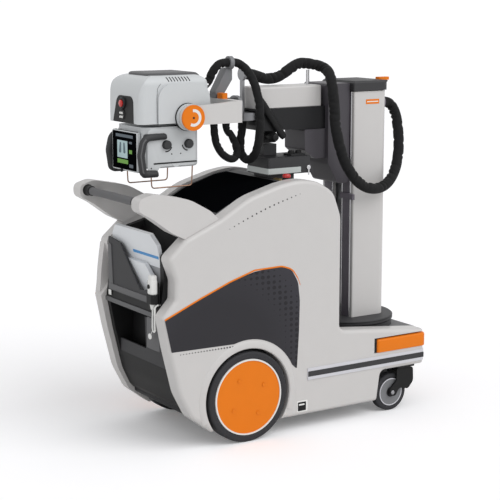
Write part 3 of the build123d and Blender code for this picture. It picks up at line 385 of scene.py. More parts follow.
def inset(flat, amount):
    """An outline moved inwards, each corner along the bisector of its sides."""
    area = np.sum(flat[:, 0] * np.roll(flat[:, 1], -1) - np.roll(flat[:, 0], -1) * flat[:, 1])
    into, away = flat - np.roll(flat, 1, 0), np.roll(flat, -1, 0) - flat
    into /= np.linalg.norm(into, axis=1)[:, None] + 1e-9
    away /= np.linalg.norm(away, axis=1)[:, None] + 1e-9
    normal = np.stack([-(into + away)[:, 1], (into + away)[:, 0]], 1) * np.sign(area)
    size = np.linalg.norm(normal, axis=1)[:, None]
    return flat + normal / np.maximum(size, 0.6) ** 2 * 2 * amount


def skin(rings, closed=False):
    """Quads between rings of equal count, with the first and last ring filled or joined."""
    count, around = len(rings), len(rings[0])
    here = np.arange(around)
    after = np.roll(here, -1)
    faces = []
    for ring in range(count if closed else count - 1):
        a, b = ring * around, (ring + 1) % count * around
        faces += np.stack([a + here, a + after, b + after, b + here], 1).tolist()
    if not closed:
        faces += [here[::-1].tolist(), (here + (count - 1) * around).tolist()]
    return np.concatenate(rings), faces


EDGE_STEPS = 4  # rings of a rounded edge


def raised(where, flat, height, edge=0.0, low=0.0):
    """An outline raised from a plane, its far edge a quarter circle of radius edge: at angle t it is
    inset by edge times 1 - cos t and lowered by edge times 1 - sin t."""
    rings = [lift(where, flat, low)]
    for turn in np.linspace(0, math.pi / 2, EDGE_STEPS) if edge else [math.pi / 2]:
        smaller = inset(flat, edge * (1 - math.cos(turn))) if edge else flat
        rings.append(lift(where, smaller, height - edge * (1 - math.sin(turn))))
    return skin(rings)


def domed(where, flat, height, crown, rings=5, edge=1.0):
    """A raised outline whose top swells by crown towards its middle: crown times 1 - share squared."""
    middle = flat.mean(0)
    stack = [lift(where, flat, 0.0), lift(where, flat, height - edge)]
    for share in np.linspace(1, 0.04, rings):
        shrunk = middle + (flat - middle) * share * (1 - edge / 60)
        stack.append(lift(where, shrunk, height + crown * (1 - share ** 2)))
    return skin(stack)


def turned(where, u, v, profile, around=40):
    """A profile of height and radius rows, turned about the plane's own outward axis at (u, v)."""
    return skin([lift(where, disc(u, v, radius, around), height) for height, radius in profile])


def frames(path):
    """Tangents of a path and two crosswise directions carried along it without twist."""
    along = np.gradient(path, axis=0)
    along /= np.linalg.norm(along, axis=1)[:, None]
    first = np.cross(along[0], Y if abs(along[0] @ Y) < 0.9 else Z)
    first /= np.linalg.norm(first)
    across = [first]
    for t in along[1:]:
        n = across[-1] - (across[-1] @ t) * t
        across.append(n / np.linalg.norm(n))
    across = np.array(across)
    return along, across, np.cross(along, across)


def tube(path, radius, around=14, flatten=1.0):
    """A round section along a path. flatten is its share of width along Y."""
    path = np.asarray(path, float)
    _, across, other = frames(path)
    radius = np.broadcast_to(np.asarray(radius, float), len(path))
    turn = np.arange(around) * 2 * math.pi / around
    rings = []
    for point, a, b, r in zip(path, across, other, radius):
        off = r * (np.cos(turn)[:, None] * a + np.sin(turn)[:, None] * b)
        off -= (1 - flatten) * (off @ Y)[:, None] * Y
        rings.append(point + off)
    return skin(rings)


def bent(corners, radius, step=12.0):
    """A path through corner points, with an arc at each inner corner."""
    corners = [np.array(corner, float) for corner in corners]
    points = [corners[0]]
    for before, here, after in zip(corners, corners[1:], corners[2:]):
        a, b = before - here, after - here
        long_a, long_b = np.linalg.norm(a), np.linalg.norm(b)
        a, b = a / long_a, b / long_b
        half = math.acos(np.clip(a @ b, -1, 1)) / 2
        reach = min(radius / math.tan(half), 0.45 * long_a, 0.45 * long_b)
        r = reach * math.tan(half)
        middle = here + (a + b) / np.linalg.norm(a + b) * r / math.sin(half)
        p, q = (here + a * reach - middle) / r, (here + b * reach - middle) / r
        angle = math.pi - 2 * half
        for share in np.linspace(0, 1, max(2, int(math.degrees(angle) / step) + 1) + 1):
            w = (math.sin((1 - share) * angle) * p + math.sin(share * angle) * q) / math.sin(angle)
            points.append(middle + r * w)
    return np.array(points + [corners[-1]])


def even(line, step, more=0):
    """Points at equal distances along a line, about step apart, with the distance of each from the start.
    More adds points."""
    line = np.asarray(line, float)
    run = np.concatenate([[0], np.cumsum(np.linalg.norm(np.diff(line, axis=0), axis=1))])
    at = np.linspace(0, run[-1], max(2, int(run[-1] / step)) + 1 + more)
    return np.stack([np.interp(at, run, column) for column in line.T], 1), at


def smooth_box(low, high, edge):
    """A box with rounded edges: at angle t its outline is inset by edge times 1 - sin t, and stands edge
    times 1 - cos t inside the box's end."""
    low, high = np.array(low, float), np.array(high, float)
    flat = oblong(low[0], high[0], low[1], high[1], edge * 1.2)
    rings = []
    for turn in np.linspace(0, math.pi / 2, EDGE_STEPS):
        height = low[2] + edge * (1 - math.cos(turn))
        rings.append(lift(top(0), inset(flat, edge * (1 - math.sin(turn))), height))
    for turn in np.linspace(math.pi / 2, 0, EDGE_STEPS):
        height = high[2] - edge * (1 - math.cos(turn))
        rings.append(lift(top(0), inset(flat, edge * (1 - math.sin(turn))), height))
    return skin(rings)


def mirrored(shape):
    """A shape on the other side of the machine."""
    return shape[0] * [1, -1, 1], shape[1]


TREES = {}  # search trees of the nodes that pieces are laid on
RUN_UP = 400.0  # how far off a node a point starts its fall


def landed(points, node, towards, clear=SKIN):
    """Points laid on a node of the frame: each falls along towards until it meets the surface, and keeps
    its own height over the lowest point, plus clear."""
    if node not in TREES:
        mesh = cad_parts[node].data
        corners = [vertex.co for vertex in mesh.vertices]
        TREES[node] = BVHTree.FromPolygons(corners, [polygon.vertices for polygon in mesh.polygons])
    height = points @ -towards
    height = height - height.min()
    placed = []
    for point, above in zip(points, height):
        start = point - towards * RUN_UP
        hit = TREES[node].ray_cast(Vector(start * MM), Vector(towards))[0]
        base = np.array(hit) / MM if hit is not None else point + towards * above
        placed.append(base - towards * (above + clear))
    return np.array(placed)


def draped(shape, node, towards, clear=SKIN):
    """A shape whose points are laid on a node of the frame."""
    return landed(shape[0], node, towards, clear), shape[1]


def piece(name, shapes, material, body, replaces=(), smooth=35.0):
    """Joins shapes into one object on a body, with its seams merged, its faces turned outwards and its
    material added."""
    points, faces, start = [], [], 0
    for verts, polygons in shapes:
        points.append(np.asarray(verts, float) * MM)
        faces += [[index + start for index in polygon] for polygon in polygons]
        start += len(verts)
    mesh = bpy.data.meshes.new(name)
    mesh.from_pydata(np.concatenate(points).tolist(), [], faces)
    work = bmesh.new()
    work.from_mesh(mesh)
    bmesh.ops.remove_doubles(work, verts=work.verts, dist=0.02 * MM)
    bmesh.ops.recalc_face_normals(work, faces=work.faces)
    work.to_mesh(mesh)
    work.free()
    mesh.polygons.foreach_set("use_smooth", [True] * len(mesh.polygons))
    mesh.set_sharp_from_angle(angle=math.radians(smooth))
    mesh.materials.append(material)
    made = bpy.data.objects.new(name, mesh)
    bpy.context.scene.collection.objects.link(made)
    if body:
        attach(made, body)
    if replaces:
        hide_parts(*replaces)
    return made


# The frame's own nodes

NODE_FINISHES = {
    WHITE: "side_panel_right side_panel_left handle_arm_right handle_arm_left column arm_cover yoke",
    HEAD_WHITE: "tube_housing collimator head_screen",
    DARK: "top_cover turntable_base turntable mast_cap yoke_hub bin_fronts control_box",
    CARRIAGE_GREY: "carriage",
    STRIP_SILVER: "rub_strip",
    DECK_GREY: "front_deck",
    CASTER: "hose_bracket",
    ORANGE: "bumper cap_lever yoke_covers drive_disc_right drive_disc_left",
    GLASS: "touch_display",
    STEEL_BLACK: "base_frame power_unit axle_mounts arm_beam",
    RUBBER: "drive_tyre_right drive_tyre_left caster_wheel_right caster_wheel_left",
    VIOLET: "column_trim",
    SATIN: "mast arm_inner",
    CHROME: "hose_post",
    PAD: "head_trim",
    SOFT_GRIP: "collimator_knobs head_grips",
    COPPER: "guard_wires",
    RED: "stop_button",
    SHELL: "detector_large detector_small",
    LIGHT: "hand_switch",
    BLACK: "drive_handle caster_fork_right caster_fork_left dock_fittings switch_holder rear_housing",
}
for material, names in NODE_FINISHES.items():
    for name in names.split():
        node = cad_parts[name]
        node.data.materials.clear()
        node.data.materials.append(material)


# Body sides

def body_sides():
    """Graphic, orange line, vent dots, arch flange, band of the rub strip and latch on both sides. The
    upper row of dots rises by 106 share + 8 sin(pi share). The flange is a section swept round the arch."""
    graphic = rounded([
        (-564, 514, 6), (-537, 392, 4), (-271, 388, 3),
        *[(u, v, 0) for u, v in arc(*WHEEL, 222, 106, 26, 16)],
        (15, 252, 4), (24, 400, 600), (27, 522, 200), (18, 593, 60), (-11, 643, 40), (-57, 659, 60),
        (-178, 656, 300), (-288, 623, 500), (-417, 574, 500),
    ])
    line = bent([(-564, 516, 0), (-417, 577, 0), (-288, 626, 0), (-178, 659, 0), (-57, 661.5, 0),
                 (-9, 646, 0), (18, 607, 0), (28.5, 580, 0)], 60, 6)[:, :2]
    width = np.interp(np.arange(len(line)) / len(line), [0, 0.72, 1], [6.0, 5.0, 1.0])[:, None]
    for sign, name in ((-1, "right"), (1, "left")):
        face = side(sign, BODY_SIDE)
        piece(f"side_graphic_{name}", [raised(face, graphic, 0.5)], FILM, "chassis")
        piece(f"side_line_{name}", [raised(face, ribbon(line, width), 0.8)], ORANGE, "chassis")
        dots = []
        for share in np.linspace(0, 1, 17):
            size = 3.1 * (0.45 + 0.55 * math.sin(math.pi * share) ** 0.5)
            rise = 106 * share + 8 * math.sin(math.pi * share)
            dots.append(raised(face, disc(-287 + 312 * share, 824 + rise, size, 12), 0.4))
        for share in np.linspace(0, 1, 22):
            dots.append(raised(face, disc(-500 + 262 * share, 379, 3.6 * (0.5 + 0.5 * share), 12), 0.5))
        piece(f"side_dots_{name}", dots, BLACK, "chassis")
        section = ((216, 0.0), (214, 1.6), (196, 3.0), (190, 3.0), (188, 0.0))
        flange = [np.concatenate([lift(face, arc(*WHEEL, radius, turn, turn, 1), height)
                                  for radius, height in section]) for turn in np.linspace(-22, 202, 90)]
        piece(f"arch_flange_{name}", [skin(flange)], WHITE, "chassis")
        strip = oblong(66, 640, 213.5, 234.5, 1)
        piece(f"rub_band_{name}", [raised(side(sign, RUB_SIDE), strip, 0.8, low=-0.5)], DARK, "chassis")
        piece(f"latch_frame_{name}", [raised(face, oblong(16, 66, 77, 122, 3), 1.4, 1.0)], LIGHT, "chassis")
        latch = [raised(face, oblong(20, 58, 82, 117, 3), 1.7)]
        piece(f"latch_pocket_{name}", latch, BLACK, "chassis")
        hook = [raised(face, oblong(24, 50, 104, 110, 2), 4.0, 1.0)]
        piece(f"latch_hook_{name}", hook, LIGHT, "chassis")


def wheels():
    """White rim ring, two ribs on the tyre's shoulder and four raised marks on the orange disc."""
    for sign, name in ((-1, "right"), (1, "left")):
        face = side(sign, WHEEL_SIDE)
        body = f"wheel_{name}"
        rows = ((140.5, -3.0), (141, 0.7), (146.5, 0.7), (147.5, -3.0))
        ring = [lift(face, disc(*WHEEL, radius, 96), height) for radius, height in rows]
        piece(f"rim_ring_{name}", [skin(ring, closed=True)], LIGHT, body)
        ribs = []
        for radius in (153, 166):
            rows = ((radius - 1.2, -6.0), (radius, -1.0 - (radius - 153) * 0.2), (radius + 1.2, -6.0))
            rib = [lift(face, disc(*WHEEL, at, 96), height) for at, height in rows]
            ribs.append(skin(rib, closed=True))
        piece(f"tyre_ribs_{name}", ribs, RUBBER, body)
        marks = []
        for turn in (30, 121, 213, 303):
            u, v = arc(*WHEEL, 79, turn, turn, 1)[0]
            marks.append(turned(face, u, v, ((-0.5, 8), (0.5, 7.6), (0.5, 6.4), (0.1, 5.4), (0.1, 0.05)), 24))
        piece(f"wheel_dimples_{name}", marks, ORANGE, body)


# Hoses

ROUND_HOSE = 28  # corners of a hose's section
DEEPEST_FOLD = 0.40  # share of the radius


def spine(name, route):
    """A quadratic spline along a route in mm, read back as evenly spaced points in mm."""
    curve = bpy.data.curves.new(name + "_line", "CURVE")
    curve.dimensions = "3D"
    spline = curve.splines.new("NURBS")
    spline.points.add(len(route) - 1)
    for point, place in zip(spline.points, route):
        point.co = (*[value * MM for value in place], 1.0)
    spline.order_u = 3
    spline.use_endpoint_u = True
    spline.resolution_u = 16
    holder = bpy.data.objects.new(name + "_line", curve)
    bpy.context.scene.collection.objects.link(holder)
    mesh = bpy.data.meshes.new_from_object(holder)
    line = np.array([vertex.co for vertex in mesh.vertices]) / MM
    bpy.data.objects.remove(holder)
    bpy.data.curves.remove(curve)
    bpy.data.meshes.remove(mesh)
    return line


def sleeve(name, route, radius, seed, bunching):
    """A cloth sleeve on a hose. Its radius at distance s and angle a is the hose's less the folds. A fold
    is a ring that leans by its own tilt: depth times exp(-(distance / width) squared), strongest at its
    own angle, which turns to the inside of the bend, and deeper where the bend is tighter. A slow wave
    takes another 3 percent at most."""
    random = np.random.default_rng(seed)
    path, at = even(spine(name, route), 3.0)
    along, across, other = frames(path)
    around = ROUND_HOSE
    turn = np.arange(around) * 2 * math.pi / around
    pull = np.gradient(along, axis=0) / np.gradient(at)[:, None]
    bend = np.linalg.norm(pull, axis=1)
    inside = np.arctan2(np.sum(pull * other, 1), np.sum(pull * across, 1))
    depth = np.zeros((len(path), around))
    place = 12.0
    while place < at[-1] - 10:
        near = np.argmin(np.abs(at - place))
        tight = min(1.0, bend[near] * radius * 2.6)
        angle = inside[near] + random.normal(0, 0.5) if tight > 0.25 else random.uniform(0, 2 * math.pi)
        deep = radius * (0.06 + bunching * (0.4 + 0.6 * tight)) * random.uniform(0.5, 1.15)
        width = random.uniform(3.6, 6.6) * (1.3 - 0.35 * tight)
        tilt = random.normal(0, 0.35)
        offset = at[:, None] - place - tilt * radius * np.cos(turn[None, :] - angle - 1.2)
        round_about = (0.5 + 0.5 * np.cos(turn[None, :] - angle)) ** random.uniform(0.8, 2.2)
        depth = np.maximum(depth, deep * np.exp(-(offset / width) ** 2) * round_about)
        place += random.uniform(12, 24) * (1.4 - 0.6 * tight)
    slow = 0.5 + 0.5 * np.sin(at[:, None] / 47 + 2.1 * np.sin(at[:, None] / 83) + turn[None, :])
    depth += radius * 0.03 * slow
    reach = radius - np.minimum(depth, DEEPEST_FOLD * radius)
    outward = np.cos(turn)[None, :, None] * across[:, None] + np.sin(turn)[None, :, None] * other[:, None]
    rings = path[:, None] + reach[:, :, None] * outward
    made = piece(name + "_sleeve", [skin(rings)], SLEEVE, None, (name,), smooth=80)
    mesh = made.data
    layer = mesh.uv_layers.new(name="along_and_round")
    corners = np.empty(len(mesh.loops), int)
    mesh.loops.foreach_get("vertex_index", corners)
    starts, totals = np.empty(len(mesh.polygons), int), np.empty(len(mesh.polygons), int)
    mesh.polygons.foreach_get("loop_start", starts)
    mesh.polygons.foreach_get("loop_total", totals)
    ring_of, angle_of = corners // around, corners % around
    lowest, highest = np.minimum.reduceat(angle_of, starts), np.maximum.reduceat(angle_of, starts)
    wraps = np.repeat((lowest == 0) & (highest == around - 1), totals) & (angle_of == 0)
    column = np.where(wraps, 2 * math.pi * radius, angle_of * 2 * math.pi * radius / around)
    uv = np.stack([at[np.minimum(ring_of, len(at) - 1)], column], 1) * MM
    layer.data.foreach_set("uv", uv.ravel())
    return made, path


ROUTES = {
    "hose_main": (22.0, 11, 0.30, "carriage", "column", (310, 0, 1000), (600, 0, 1000), [
        (256, -6, 1398), (277, -13, 1394.5), (292, -27, 1389), (299, -48, 1381), (296, -76, 1369),
        (288, -104, 1346), (282, -124, 1308), (282, -136, 1242), (281, -147, 1156), (299, -157, 1068),
        (335, -162, 987), (387, -166, 929), (452, -166, 902), (529, -152, 908), (594, -126, 954),
        (633, -102, 1022), (650, -82, 1096), (652, -68, 1150), (648, -58, 1190), (634, -52, 1222),
        (608, -50, 1238), (583, -50, 1238)]),
    "hose_arm": (22.0, 22, 0.36, "arm", "carriage", (-20, 0, 1360), (210, 0, 1360), [
        (-34, 26, 1366), (-2, 26, 1366), (40, 24, 1351), (80, 21, 1343), (118, 16, 1349),
        (156, 10, 1371), (196, 5, 1396), (226, 4, 1403), (256, -6, 1398)]),
    "hose_head": (17.0, 33, 0.28, "head", "yoke", (-250, 0, 1326), (-140, 0, 1414), [
        (-258, 0, 1326), (-232, 0, 1326), (-210, -4, 1346), (-198, -10, 1378), (-180, -16, 1404),
        (-158, -20, 1414), (-134, -20, 1414)]),
    "hose_wrap": (17.0, 44, 0.34, "yoke", "arm", (-118, -20, 1414), (-58, -20, 1214), [
        (-118, -20, 1414), (-98, -20, 1414), (-81, -27, 1406), (-68, -42, 1391), (-57, -66, 1360),
        (-50, -94, 1310), (-47, -110, 1240), (-47, -112, 1170), (-49, -102, 1104), (-52, -78, 1058),
        (-58, -42, 1038), (-62, -8, 1052), (-62, 8, 1090), (-58, 8, 1132), (-54, 4, 1162),
        (-54, 4, 1192)]),
    "hose_loop": (15.0, 55, 0.30, "head", "yoke", (-235, 0, 1150), (-135, 0, 1150), [
        (-262, -60, 1230), (-245, -60, 1230), (-231, -60, 1222), (-223, -60, 1207), (-221, -60, 1182),
        (-220, -60, 1150), (-212, -60, 1114), (-192, -60, 1080), (-162, -58, 1056), (-128, -50, 1048),
        (-104, -38, 1064), (-100, -24, 1100), (-112, -8, 1136), (-131, 0, 1162), (-131, 0, 1188)]),
}
SWITCH_ROUTE = [
    (-564, -187, 538), (-564, -187, 522), (-565, -187, 500), (-566, -188, 476), (-565, -188, 463),
    (-565, -193, 458), (-565, -200, 458), (-565, -205, 463), (-566, -205, 476), (-566, -206, 500),
    (-565.5, -205, 523), (-564.7, -204, 537), (-564.7, -203, 546), (-559.9, -203, 553.6),
    (-551.7, -203, 557.3), (-542.8, -203, 556)]
SWITCH_CORD = 3.5


def hoses():
    """Each hose is one sleeve along its route, built in place and joined to no body. The hand switch's cord
    is a smooth tube."""
    for name, (radius, seed, bunching, near, far, start, end, route) in ROUTES.items():
        made, path = sleeve(name, route, radius, seed, bunching)
        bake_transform(made)
    path, _ = even(spine("switch_cord", SWITCH_ROUTE), 1.6)
    cord = piece("switch_cord_jacket", [tube(path, SWITCH_CORD, 12)], LIGHT, "chassis",
                 ("switch_cord",), smooth=60)


# Tube head

def head():
    """Vents, rear control panel with two buttons, pivot washers, pad, plate seams and front pin."""
    vents = []
    for u in np.linspace(-454, -366, 8):
        line = np.array([(u + 6 * share, -300, 1373 - 15 * share) for share in np.linspace(0, 1, 7)])
        bar = tube(landed(line, "tube_housing", Y, -0.8), 2.2, 10)
        vents += [bar, mirrored(bar)]
    piece("head_vents", vents, BLACK, "head")
    panel = rounded([(72, 1208, 3), (52, 1306, 30), (-70, 1306, 30), (-86, 1208, 3)], 9)
    piece("head_control_panel", [draped(domed(behind(HEAD_BACK), panel, 1.5, 0.0, 8), "tube_housing", X)],
          BLACK, "head")
    face = behind(BUTTONS_BACK)
    rings = [turned(face, *place, ((-4, 22), (6, 22), (9, 19), (9, 15), (6, 13), (6, 0.05)))
             for place in (RELEASE_BUTTON, TURN_BUTTON)]
    piece("head_button_rings", rings, STEEL_BLACK, "head")
    button = turned(face, *RELEASE_BUTTON, ((5, 13), (12, 13), (15, 9), (16, 0.05)))
    piece("head_release_button", [button], RED, "head")
    petals = []
    for angle in (45, 135, 225, 315):
        u, v = arc(*TURN_BUTTON, 10.2, angle, angle, 1)[0]
        petals.append(raised(face, disc(u, v, 4.6, 16), 11, 1.0, low=5))
    piece("head_turn_marks", petals, LIGHT, "head")
    # Each washer sits on a wider black disc whose rim shows as a painted shadow around it.
    washers = (("shadow", 51.5, -4, 6, BLACK), ("washer", 49.5, 4, 19, HEAD_WHITE))
    for name, radius, low, high, material in washers:
        rows = ((low, radius), (high - 1.5, radius), (high, radius - 1.5), (high, 0.05))
        piece(f"pivot_{name}", [turned(side(sign, HEAD_PLATE_SIDE), *PIVOT, rows, 56) for sign in (-1, 1)],
              material, "head")
    pad = rounded([(-512, -74, 16), (-484, -90, 20), (-304, -90, 24), (-284, -70, 16), (-284, 70, 16),
                   (-304, 90, 24), (-484, 90, 20), (-512, 74, 16)])
    swollen = draped(domed(top(1360), pad, 9.0, 0.0, 10, 3.0), "tube_housing", -Z, 0.0)
    piece("head_pad", [swollen], PAD, "head", ("head_trim",))
    seam, _ = even([(-500, 1210), (-500, 1300), (-497, 1336), (-484, 1352)], 6, 1)
    lines = [raised(side(sign, HEAD_SIDE), ribbon(seam, 1.6), 0.5) for sign in (-1, 1)]
    piece("head_plate_seam", lines, MID_GREY, "head")
    pin = [tube([(-276, -66, 1338), (-262, -66, 1338), (-258, -66, 1338)], [2.5, 2.5, 5]),
           tube([(-258.5, -66, 1338), (-250, -66, 1338)], 4.5)]
    piece("head_front_pin", pin, CHROME, "head")


def pivots():
    """White C mark, raised rim and centre pin on both orange covers."""
    marks, pins, rims = [], [], []
    for sign in (-1, 1):
        face = side(sign, COVER_SIDE)
        marks.append(raised(face, ribbon(arc(*PIVOT, 26.5, -118, 98, 30), 10.5), 0.7))
        pins.append(turned(face, *PIVOT, ((-0.3, 4), (1.2, 4), (1.2, 0.05)), 20))
        rows = ((43.6, -0.2), (43.4, 0.5), (42.4, 0.5), (42.2, -0.2))
        rim = [lift(face, disc(*PIVOT, radius, 64), height) for radius, height in rows]
        rims.append(skin(rim, closed=True))
    piece("pivot_c_marks", marks, LIGHT, "yoke")
    piece("pivot_pins", pins, STEEL_BLACK, "yoke")
    piece("pivot_rims", rims, ORANGE, "yoke")


FLUTES = 18


def knob(u, v, radius, height):
    """A fluted knob: its radius at angle a is radius - 0.7 + 0.7 cos(18 a), with a smooth cap."""
    turn = np.arange(FLUTES * 6) * 2 * math.pi / (FLUTES * 6)
    wave = radius - 0.7 + 0.7 * np.cos(FLUTES * turn)
    circle = np.stack([np.cos(turn), np.sin(turn)], 1)
    sizes = (radius, radius, wave, wave, wave - 1.5, radius * 0.72, 0.05)
    heights = (0, 2.5, 3.5, height - 2.5, height - 0.5, height, height - 1.0)
    rings = [[u, v] + circle * np.broadcast_to(size, len(turn))[:, None] for size in sizes]
    return skin([lift(side(-1, COLLIMATOR_SIDE), ring, level) for ring, level in zip(rings, heights)])


def collimator():
    """Side plates, slot, knobs with their scales, the screen's rim, glass and picture, two moulded grips
    with their inlays, and the small lever ball."""
    plate = rounded([(-537, 1034, 12), (-498, 1030, 12), (-484, 1049, 14), (-337, 1049, 14), (-337, 1189, 6),
                     (-537, 1189, 22)], 9)
    for sign, name in ((-1, "right"), (1, "left")):
        piece(f"collimator_plate_{name}", [raised(side(sign, COLLIMATOR_SIDE), plate, 1.6, 1.2)], HEAD_WHITE,
              "collimator")
    face = side(-1, COLLIMATOR_SIDE + 1.6)
    slot = [raised(face, oblong(-512, -330, 1059.5, 1064.5, 1.5), 1.4)]
    screws = [raised(face, disc(u, v, 2.6, 14), 0.5) for u, v in ((-522, 1046), (-436, 1094), (-398, 1094))]
    scales = [raised(face, ribbon(arc(u, v, 25, start, start + 75, 14), 4.4), 0.5)
              for (u, v), start in zip(KNOBS, (-98, -172))]
    piece("collimator_slot", slot + scales + screws, BLACK, "collimator")
    thumb = domed(face, disc(-418, 1063, 18, 36), 1.2, -0.9, 6, 0.8)
    piece("collimator_thumb_rest", [thumb], HEAD_WHITE, "collimator")
    piece("fluted_knobs", [knob(u, v, 17, 17) for u, v in KNOBS], SOFT_GRIP, "collimator",
          ("collimator_knobs",))

    glass = oblong(*SCREEN, 4)
    rim = oblong(SCREEN[0] - 5, SCREEN[1] + 5, SCREEN[2] - 5, SCREEN[3] + 4, 7)
    piece("screen_rim", [raised(behind(SCREEN_BACK + 12), rim, 12.4, 3)], HEAD_WHITE, "collimator")
    piece("screen_glass", [raised(behind(SCREEN_BACK), glass, 1.0, 0.6)], GLASS, "collimator")

    wide, tall = SCREEN[1] - SCREEN[0], SCREEN[3] - SCREEN[2]
    fields = (("bar", BAR, 0.14, 0.86, 0.07, 0.15), ("picture", PICTURE, 0.20, 0.63, 0.24, 0.70),
              ("button", GREEN, 0.20, 0.65, 0.74, 0.85), ("mark", GREEN, 0.70, 0.82, 0.46, 0.56),
              ("icon", BAR, 0.70, 0.82, 0.24, 0.30), ("corner", BAR, 0.70, 0.86, 0.84, 0.93))
    for name, material, left, right, high, low in fields:  # shares of the glass from its left and its top
        field = oblong(SCREEN[1] - right * wide, SCREEN[1] - left * wide,
                       SCREEN[3] - low * tall, SCREEN[3] - high * tall, 1.0)
        piece(f"screen_{name}", [raised(behind(SCREEN_BACK - 1.0), field, 0.35)], material, "collimator")
    lobes = []
    for u, lean in ((47, -4), (12, 4)):
        lobe = rounded([(u - 9, 1092, 7), (u + 9, 1092, 5), (u + lean + 5, 1132, 5), (u + lean - 5, 1132, 5)])
        lobes.append(raised(behind(SCREEN_BACK - 1.4), lobe, 0.3))
    piece("screen_lobes", lobes, SHADOWS, "collimator")

    path = bent([(-466, 0, 1161), (-500, 0, 1162), (-556, 0, 1158), (-570, 0, 1096), (-560, 0, 1028),
                 (-535, 0, 1026), (-504, 0, 1026)], 40, 8)
    share = np.linspace(0, 1, len(path))
    size = np.interp(share, [0, 0.03, 0.1, 0.3, 0.45, 0.7, 0.85, 0.97, 1],
                     [7, 10.5, 12, 14, 15, 14.5, 13, 12, 7])
    upper = rounded([(-457, 1150, 8), (-462, 1172, 10), (-552, 1172, 8), (-556, 1146, 6)])
    lower = rounded([(-494, 1013, 8), (-498, 1038, 10), (-558, 1042, 8), (-562, 1014, 8)])
    grips, inlays = [], []
    for sign in (-1, 1):
        grips.append(tube(path + sign * GRIP_SIDE * Y, size, 20, flatten=0.78))
        grips += [raised(side(sign, COLLIMATOR_SIDE), foot, 13, 4) for foot in (upper, lower)]
        middle = path[int(len(path) * 0.26):int(len(path) * 0.72)]
        inlays.append(tube(middle + [-4.5, sign * (GRIP_SIDE + 9), 0], 3.2, 10))
    piece("moulded_grips", grips, SOFT_GRIP, "collimator", ("head_grips",))
    piece("grip_inlays", inlays, PAD, "collimator")
    ball = turned(ahead(SCREEN_BACK - 9), 34, 1028,
                  ((0, 0.05), (0.6, 3), (3, 6), (6, 7), (9, 6), (11.4, 3), (30, 2.5)))
    piece("screen_lever_ball", [ball], BLACK, "collimator")


# Rear

def rear():
    """Bay frame, switch recess, rear panel, ledge and fairing, label, detector stripe and lower face, hand
    switch with the tag of its cord, handle and its trigger bar."""
    back = behind(BAY_BACK)
    pocket = [raised(back, oblong(-186, 186, 552, 575, 2), 3.5, 1),
              raised(back, rounded([(150, 575, 2), (186, 575, 2), (186, 735, 8), (160, 728, 8)]), 3, 1)]
    piece("bay_front_frame", pocket, MID_GREY, "chassis")
    recess = rounded([(-120, 640, 10), (-212, 640, 6), (-212, 530, 14), (-190, 515, 14), (-128, 530, 14)])
    piece("switch_recess", [raised(back, recess, 1.2, 0.5)], BLACK, "chassis")
    panel = raised(behind(BAY_BACK + 2.5), oblong(-206, -112, 380, 498, 5), 3.6, 1.5)
    piece("rear_panels", [panel], MID_GREY, "chassis")
    ledge = raised(behind(BAY_BACK - 1), oblong(-212, 212, 502, 520, 4), 3.5, 1.5)
    piece("rear_ledge", [ledge], MID_GREY, "chassis")
    fairing = rounded([(-566, 517, 5), (-560, 560, 60), (-555, 620, 100), (-548, 672, 100), (-540, 724, 8),
                       (-500, 730, 6), (-495, 620, 0), (-505, 530, 0)], 9)
    piece("left_rear_fairing", [raised(side(1, NOTCH_SIDE), fairing, 39.5, 5)], WHITE, "chassis")
    label = raised(behind(BAY_BACK - 0.6), oblong(168, 190, 528, 548, 1), 0.8)
    piece("rear_label", [label], LIGHT, "chassis")

    lean = np.array([-54.0, 0, 260.0])
    lean /= np.linalg.norm(lean)
    out = np.cross(lean, Y)
    large = plane(np.array([-476.2, 0, 551]) + 15.3 * out, Y, lean, out)
    piece("detector_stripe", [raised(large, oblong(-170, 24, 174, 185, 1), 0.5)], BLUE, "chassis")
    piece("detector_lower_face", [raised(large, oblong(-172, 172, 8, 140, 4), 0.35)], SATIN, "chassis")

    x, y = HAND_SWITCH
    body = [smooth_box((x - 14, y - 18, 594), (x + 14, y + 18, 652), 7),
            smooth_box((x - 12, y - 16, 640), (x + 13, y + 14, 668), 6),
            turned(top(0), x, y, ((538, 5), (540, 7), (560, 10.8), (597, 10.8)), 24)]
    piece("hand_switch_shell", body, LIGHT, "chassis", ("hand_switch",))
    button = turned(behind(x - 14), y + 2, 626, ((-4, 8), (3, 8), (4.4, 6), (5, 0.05)), 28)
    piece("hand_switch_button", [button], BLACK, "chassis")
    tag = [raised(behind(x - 6), disc(y + 10, 438, 11, 30), 3.5, 1.2),
           tube(bent([(x - 5, y + 6, 446), (x - 5, y, 456), (x - 3, y - 4, 462)], 6), 1.0, 8)]
    piece("cord_tag", tag, LIGHT, "chassis")

    grip = tube([(HANDLE[0], across, HANDLE[1]) for across in np.linspace(-196, 196, 9)], 15, 32)
    piece("handle_grip", [grip], PAD, "chassis", ("drive_handle",))
    rows = ((0, 15.2), (1.5, 18.5), (34, 18.5), (35.8, 22), (35.9, 0.05))
    collars = [turned(side(sign, 168), *HANDLE, rows, 36) for sign in (-1, 1)]
    piece("handle_collars", collars, BLACK, "chassis")
    trigger = [smooth_box((-596, -203.5, 924), (-566, 203.5, 933), 4),
               smooth_box((-612, -30, 918), (-572, 30, 930), 5)]
    piece("handle_trigger", trigger, SOFT_GRIP, "chassis")


# Top and column

